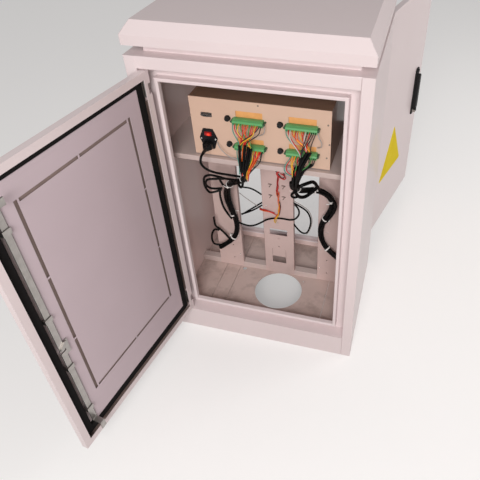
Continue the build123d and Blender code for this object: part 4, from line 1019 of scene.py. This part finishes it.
# %% [markdown]
# ## Ties
#
# A nylon tie is a band with a locking head and a cut tail. The tied loom is the
# same curve as above: halfway along a run between two control points, a curve of
# this order touches the run and heads along it, so a tie there needs no search.

# %% Ties
tie_nylon = finish("tie_nylon", (0.86, 0.85, 0.83), (0.66, 0.64, 0.60), 0.3, drift_scale=100)


def bar(shape, x_range, y_range, z_range):
    """Add a box between three pairs of coordinates in millimetres."""
    made = bmesh.ops.create_cube(shape, size=1)["verts"]
    ranges = (x_range, y_range, z_range)
    middle = Vector([(low + high) / 2 for low, high in ranges]) * MM
    bmesh.ops.scale(shape, vec=Vector([high - low for low, high in ranges]) * MM, verts=made)
    bmesh.ops.translate(shape, vec=middle, verts=made)
    return made


def tie_shape(radius=10.8, width=4.5, thickness=1.2, sides=24):
    """A band about Z with a block-shaped head and a short curved tail, in millimetres."""
    shape = bmesh.new()
    section = ((radius, -width / 2), (radius + thickness, -width / 2),
               (radius + thickness, width / 2), (radius, width / 2))
    turns = [math.tau * i / sides for i in range(sides)]
    rays = [Vector((math.cos(turn), math.sin(turn), 0)) for turn in turns]
    join_rings(shape, [[ray * r + Vector((0, 0, z)) for r, z in section] for ray in rays],
               closed=True)
    head = bar(shape, (radius + 0.1, radius + 4.7), (-3.2, 3.2), (-3.2, 3.2))
    edges = list({edge for vert in head for edge in vert.link_edges})
    bmesh.ops.bevel(shape, geom=edges, offset=0.7 * MM, segments=2, affect="EDGES")
    tail = ((radius + 3.5, 1.5), (radius + 5.0, 6.0), (radius + 5.6, 10.5), (radius + 4.8, 15.0))
    strip = ((-0.5, -1.9), (0.5, -1.9), (0.5, 1.9), (-0.5, 1.9))
    join_rings(shape, [[(x + dx, y, z) for dx, z in strip] for x, y in tail])
    return to_mesh(shape, "tie")


tie_spots = []
for route, runs in ((left_loom_route, {2: 70, 4: 200, 7: 150, 9: 20}),
                    (right_loom_route, {2: 100, 4: 250, 6: 20, 8: 150, 11: 60})):
    for run, turn in runs.items():
        start, end = Vector(route[run]), Vector(route[run + 1])
        tie_spots.append((tuple((start + end) / 2), tuple(end - start), turn))
ties = copies("nylon_ties", tie_shape(), tie_spots, tie_nylon)
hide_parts("cable_ties")

# %% [markdown]
# ## Hooks on the middle plate
#
# Four small pressed hooks stand out of the middle plate, each a flat bar with a
# leg that slants down from its end. Their dark brown is painted shade, not the
# plate's own paint.

# %% Plate hooks
HOOK_OUTLINE = ((-6.5, 1.4), (-6.5, -0.8), (1.8, -0.8), (-4.4, -11.5), (-2.2, -12.8), (4.6, -0.8),
                (6.5, -0.8), (6.5, 1.4))
hook = bmesh.new()
join_rings(hook, [[(x, y, z) for x, y in HOOK_OUTLINE] for z in (-1.2, 1.6)])
# Dark brown that is painted shade of the pressed hooks.
hook_shade_paint = finish("hook_shade_paint", (0.16, 0.115, 0.095), (0.10, 0.07, 0.06), 0.5, drift_scale=120)
hook_spots = [((x, PLATE_FACE, z), TOWARDS, 0) for x in (-22.5, 22.5) for z in (445, 489)]
copies("plate_hooks", to_mesh(hook, "hook"), hook_spots, hook_shade_paint)

# %% [markdown]
# ## Inside the serial socket
#
# The metal shell holds a black insulator with nine contacts in two rows.

# %% Socket insulator
INSULATOR = ((-8, 3.2), (8, 3.2), (6.6, -3.2), (-6.6, -3.2))
INSULATOR_FACE = PANEL_FACE - 5.0
PIN_PITCH = 2.7
insulator = bmesh.new()
join_rings(insulator, [[(SOCKET_X + x, y, SOCKET_Z + z) for x, z in INSULATOR]
                       for y in (INSULATOR_FACE, PANEL_FACE - 1.0)])
bmesh.ops.bevel(insulator, geom=insulator.edges[:], offset=0.5 * MM, segments=2, affect="EDGES")
settle("socket_insulator", to_mesh(insulator, "socket_insulator"), moulded_black)
pin = turned_shape("contact", [(0.7, -0.5), (0.7, 0.3), (0.45, 0.35), (0.35, -0.2)], 8)
pin_spots = [((SOCKET_X + (i - (count - 1) / 2) * PIN_PITCH, INSULATOR_FACE, z), TOWARDS, 0)
             for count, z in ((5, 802.4), (4, 799.6)) for i in range(count)]
copies("socket_contacts", pin, pin_spots, bright_screw)

# %% [markdown]
# ## Seal and lining of the doors
#
# Both doors are the same, so their soft and pressed parts are drawn once, on a
# door that is shut in the front opening, and carried to where each door stands:
# about its hinge line, and for the far door half a turn about the middle of the
# cabinet as well.

# %% Where the doors stand
DOOR_HINGE = Vector((-260.7, -215, 0)) * MM
DOOR_FACE = -221.0
OPENED = {"front": 99.1, "rear": 104.3}


def door_place(side):
    """The move from a shut front door to one that stands open."""
    swing = (Matrix.Translation(DOOR_HINGE)
             @ Matrix.Rotation(math.radians(-OPENED[side]), 4, "Z")
             @ Matrix.Translation(-DOOR_HINGE))
    return Matrix.Rotation(math.pi, 4, "Z") @ swing if side == "rear" else swing


def hang(name, shape, material, side):
    """Carry a shape drawn on the shut door to one of the doors and make it a piece."""
    moved = shape.copy()
    moved.transform(door_place(side))
    return settle(name, to_mesh(moved, name), material, f"{side}_door", smooth=False)


print("doors open by", OPENED, "degrees")

# %% [markdown]
# The seal is a soft foam strip glued into the channel beside the door's folded
# edge. Its section has rounded shoulders, and it is mitred at the corners.

# %% Foam seal
SEAL_OUT = dict(x=246.5, low=108.7, high=932.6)
SEAL_IN = dict(x=222.8, low=132.4, high=917.5)
SEAL_SECTION = ((0, 0), (0, 8.4), (0.05, 9.5), (0.14, 10), (0.86, 10), (0.95, 9.5), (1, 8.4),
                (1, 0))
SEAL_FOOT = DOOR_FACE + 1.5
seal_corners = []
for side_x, side_z in ((-1, "low"), (1, "low"), (1, "high"), (-1, "high")):
    width, height = SEAL_IN["x"] - SEAL_OUT["x"], SEAL_IN[side_z] - SEAL_OUT[side_z]
    seal_corners.append([
        (side_x * (SEAL_OUT["x"] + share * width), SEAL_FOOT + rise,
         SEAL_OUT[side_z] + share * height) for share, rise in SEAL_SECTION])
seal = bmesh.new()
join_rings(seal, seal_corners, closed=True)
for side in ("front", "rear"):
    strip = hang(f"{side}_seal", seal, foam, side)
    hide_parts(f"{side}_door_gasket")
seal.free()

# %% [markdown]
# The lining is a shallow tray with a rectangular slot cut nearly all the way round
# its field. Narrow bridges keep the field in place. The sheet is drawn as a grid of
# cells with the slot's cells left out, and then given its thickness.

# %% Slotted lining
LINING = dict(left=-221.7, right=200.0, bottom=134.0, top=907.3)
SLOT = dict(left=-179.0, right=169.0, bottom=232.0, top=862.0)
SLOT_OUT, SLOT_IN, BRIDGE = 3.0, 6.0, 4.0
SHEET = 1.2
DOOR_FLOOR = DOOR_FACE + 1.6
LINING_FACE = DOOR_FACE + 11.2


def cuts(low, high, slot_low, slot_high, bridges):
    """Grid lines across the lining: its ends, the slot's edges and the bridges' edges."""
    lines = {low, high, slot_low - SLOT_OUT, slot_low + SLOT_IN, slot_high - SLOT_IN,
             slot_high + SLOT_OUT}
    for middle in bridges:
        lines |= {middle - BRIDGE / 2, middle + BRIDGE / 2}
    return sorted(lines)


bridge_x = [(SLOT["left"] + SLOT["right"]) / 2]
slot_height = SLOT["top"] - SLOT["bottom"]
bridge_z = [SLOT["bottom"] + slot_height / 3, SLOT["bottom"] + 2 * slot_height / 3]
corner_x = [SLOT["left"] + SLOT_IN + BRIDGE / 2, SLOT["right"] - SLOT_IN - BRIDGE / 2]
columns = cuts(LINING["left"], LINING["right"], SLOT["left"], SLOT["right"], bridge_x + corner_x)
rows = cuts(LINING["bottom"], LINING["top"], SLOT["bottom"], SLOT["top"], bridge_z)


def in_slot(x, z):
    """Whether a cell's middle lies in the slot and not on one of its bridges."""
    deep = [x - SLOT["left"], SLOT["right"] - x, z - SLOT["bottom"], SLOT["top"] - z]
    if min(deep) < -SLOT_OUT or min(deep) > SLOT_IN:
        return False
    on_bridge_x = any(abs(x - middle) < BRIDGE / 2 for middle in bridge_x + corner_x)
    return not on_bridge_x and not any(abs(z - middle) < BRIDGE / 2 for middle in bridge_z)


lining = bmesh.new()
grid = {}
for x in columns:
    for z in rows:
        grid[x, z] = lining.verts.new(Vector((x, LINING_FACE, z)) * MM)
for x, next_x in zip(columns, columns[1:]):
    for z, next_z in zip(rows, rows[1:]):
        if not in_slot((x + next_x) / 2, (z + next_z) / 2):
            lining.faces.new((grid[x, z], grid[x, next_z], grid[next_x, next_z], grid[next_x, z]))
lining.normal_update()
bmesh.ops.solidify(lining, geom=lining.faces[:], thickness=SHEET * MM)
wall_y = (DOOR_FLOOR, DOOR_FACE + 10.6)
for edge in (LINING["left"], LINING["right"] - SHEET):
    bar(lining, (edge, edge + SHEET), wall_y, (LINING["bottom"], LINING["top"]))
for edge in (LINING["bottom"], LINING["top"] - SHEET):
    bar(lining, (LINING["left"] + SHEET, LINING["right"] - SHEET), wall_y, (edge, edge + SHEET))
for side in ("front", "rear"):
    tray = hang(f"{side}_lining", lining, shaded_door_lining_paint, side)
    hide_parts(f"{side}_door_liner")
lining.free()

# %% [markdown]
# Between the lining's top edge and the seal runs a folded ledge that keeps the
# foam from sagging. The floor of the grooves, the floor of the channel beside the
# seal and the inside of the folded edge are a layer of their own in a dark brown
# tone, which is painted shade in these recesses.

# %% Ledge and channel floors
# A dark brown finish that is painted shade of the grooves, the channel and the folded edge.
channel_shade_paint = finish("channel_shade_paint", (0.34, 0.26, 0.235), (0.22, 0.16, 0.14), 0.5,
                       drift_scale=25, drift_amount=0.5, grain_height=0.2, specular=0.3)
CHANNEL = (-264.5, 264.5, 90.6, 950.6)
FOLDED_EDGE = (-265.0, 265.0, 90.2, 951.1)
BETWEEN_HINGES = (172.0, 869.0)
# Thickness of the layer that carries the painted shade.
SHADE_LAYER = 0.8


def grow(rectangle, by):
    """Move each side of a rectangle (x, x, z, z) outwards."""
    return [value + step for value, step in zip(rectangle, (-by, by, -by, by))]


def frame_of_bars(shape, outer, inner, y_range, hinge_side=None):
    """Fill the space between two rectangles (x, x, z, z), with a shorter bar by the hinges."""
    bar(shape, (outer[0], inner[0]), y_range, hinge_side or outer[2:])
    bar(shape, (inner[1], outer[1]), y_range, outer[2:])
    bar(shape, inner[:2], y_range, (outer[2], inner[2]))
    bar(shape, inner[:2], y_range, (inner[3], outer[3]))


floors = bmesh.new()
slot_line = (SLOT["left"], SLOT["right"], SLOT["bottom"], SLOT["top"])
seal_edge = (-SEAL_OUT["x"], SEAL_OUT["x"], SEAL_OUT["low"], SEAL_OUT["high"])
frame_of_bars(floors, grow(slot_line, 8), grow(slot_line, -12),
              (DOOR_FACE + 6.0, DOOR_FACE + 6.0 + SHADE_LAYER))
frame_of_bars(floors, CHANNEL, grow(seal_edge, 0.3), (DOOR_FLOOR, DOOR_FLOOR + SHADE_LAYER),
              BETWEEN_HINGES)
frame_of_bars(floors, FOLDED_EDGE, grow(FOLDED_EDGE, -0.7),
              (DOOR_FLOOR + SHADE_LAYER, DOOR_FACE + 18.2), BETWEEN_HINGES)
for side in ("front", "rear"):
    hang(f"{side}_channel_floor", floors, channel_shade_paint, side)
floors.free()
ledge = bmesh.new()
ledge_x = (LINING["left"], LINING["right"])
ledge_end = SEAL_IN["high"] - 0.2
bar(ledge, ledge_x, (DOOR_FACE + 10.0, LINING_FACE), (LINING["top"] + 0.2, ledge_end))
bar(ledge, ledge_x, (DOOR_FLOOR, DOOR_FACE + 10.0), (ledge_end - SHEET, ledge_end))
for side in ("front", "rear"):
    hang(f"{side}_seal_ledge", ledge, shaded_door_lining_paint, side)
ledge.free()

# %% [markdown]
# ## The yellow field on the far door
#
# A plain triangle of yellow film with rounded corners is stuck to the outer face
# of the far door.

# %% Yellow film
FILM_CORNERS = ((-3, 493), (114, 289), (-122, 300))
FILM_THICKNESS = 0.35
film = bmesh.new()
join_rings(film, [[(x, y, z) for x, z in FILM_CORNERS]
                  for y in (DOOR_FACE - FILM_THICKNESS, DOOR_FACE)])
uprights = [edge for edge in film.edges if abs(edge.verts[0].co.y - edge.verts[1].co.y) > 0.1 * MM]
bmesh.ops.bevel(film, geom=uprights, offset=5 * MM, segments=4, affect="EDGES")
film_yellow = finish("film_yellow", (0.84, 0.66, 0.01), (0.72, 0.52, 0.01), 0.55, drift_scale=12,
                     drift_amount=0.4, grain_scale=900, grain_height=0.04, specular=0.12)
hang("yellow_film", film, film_yellow, "rear")
film.free()

# %% [markdown]
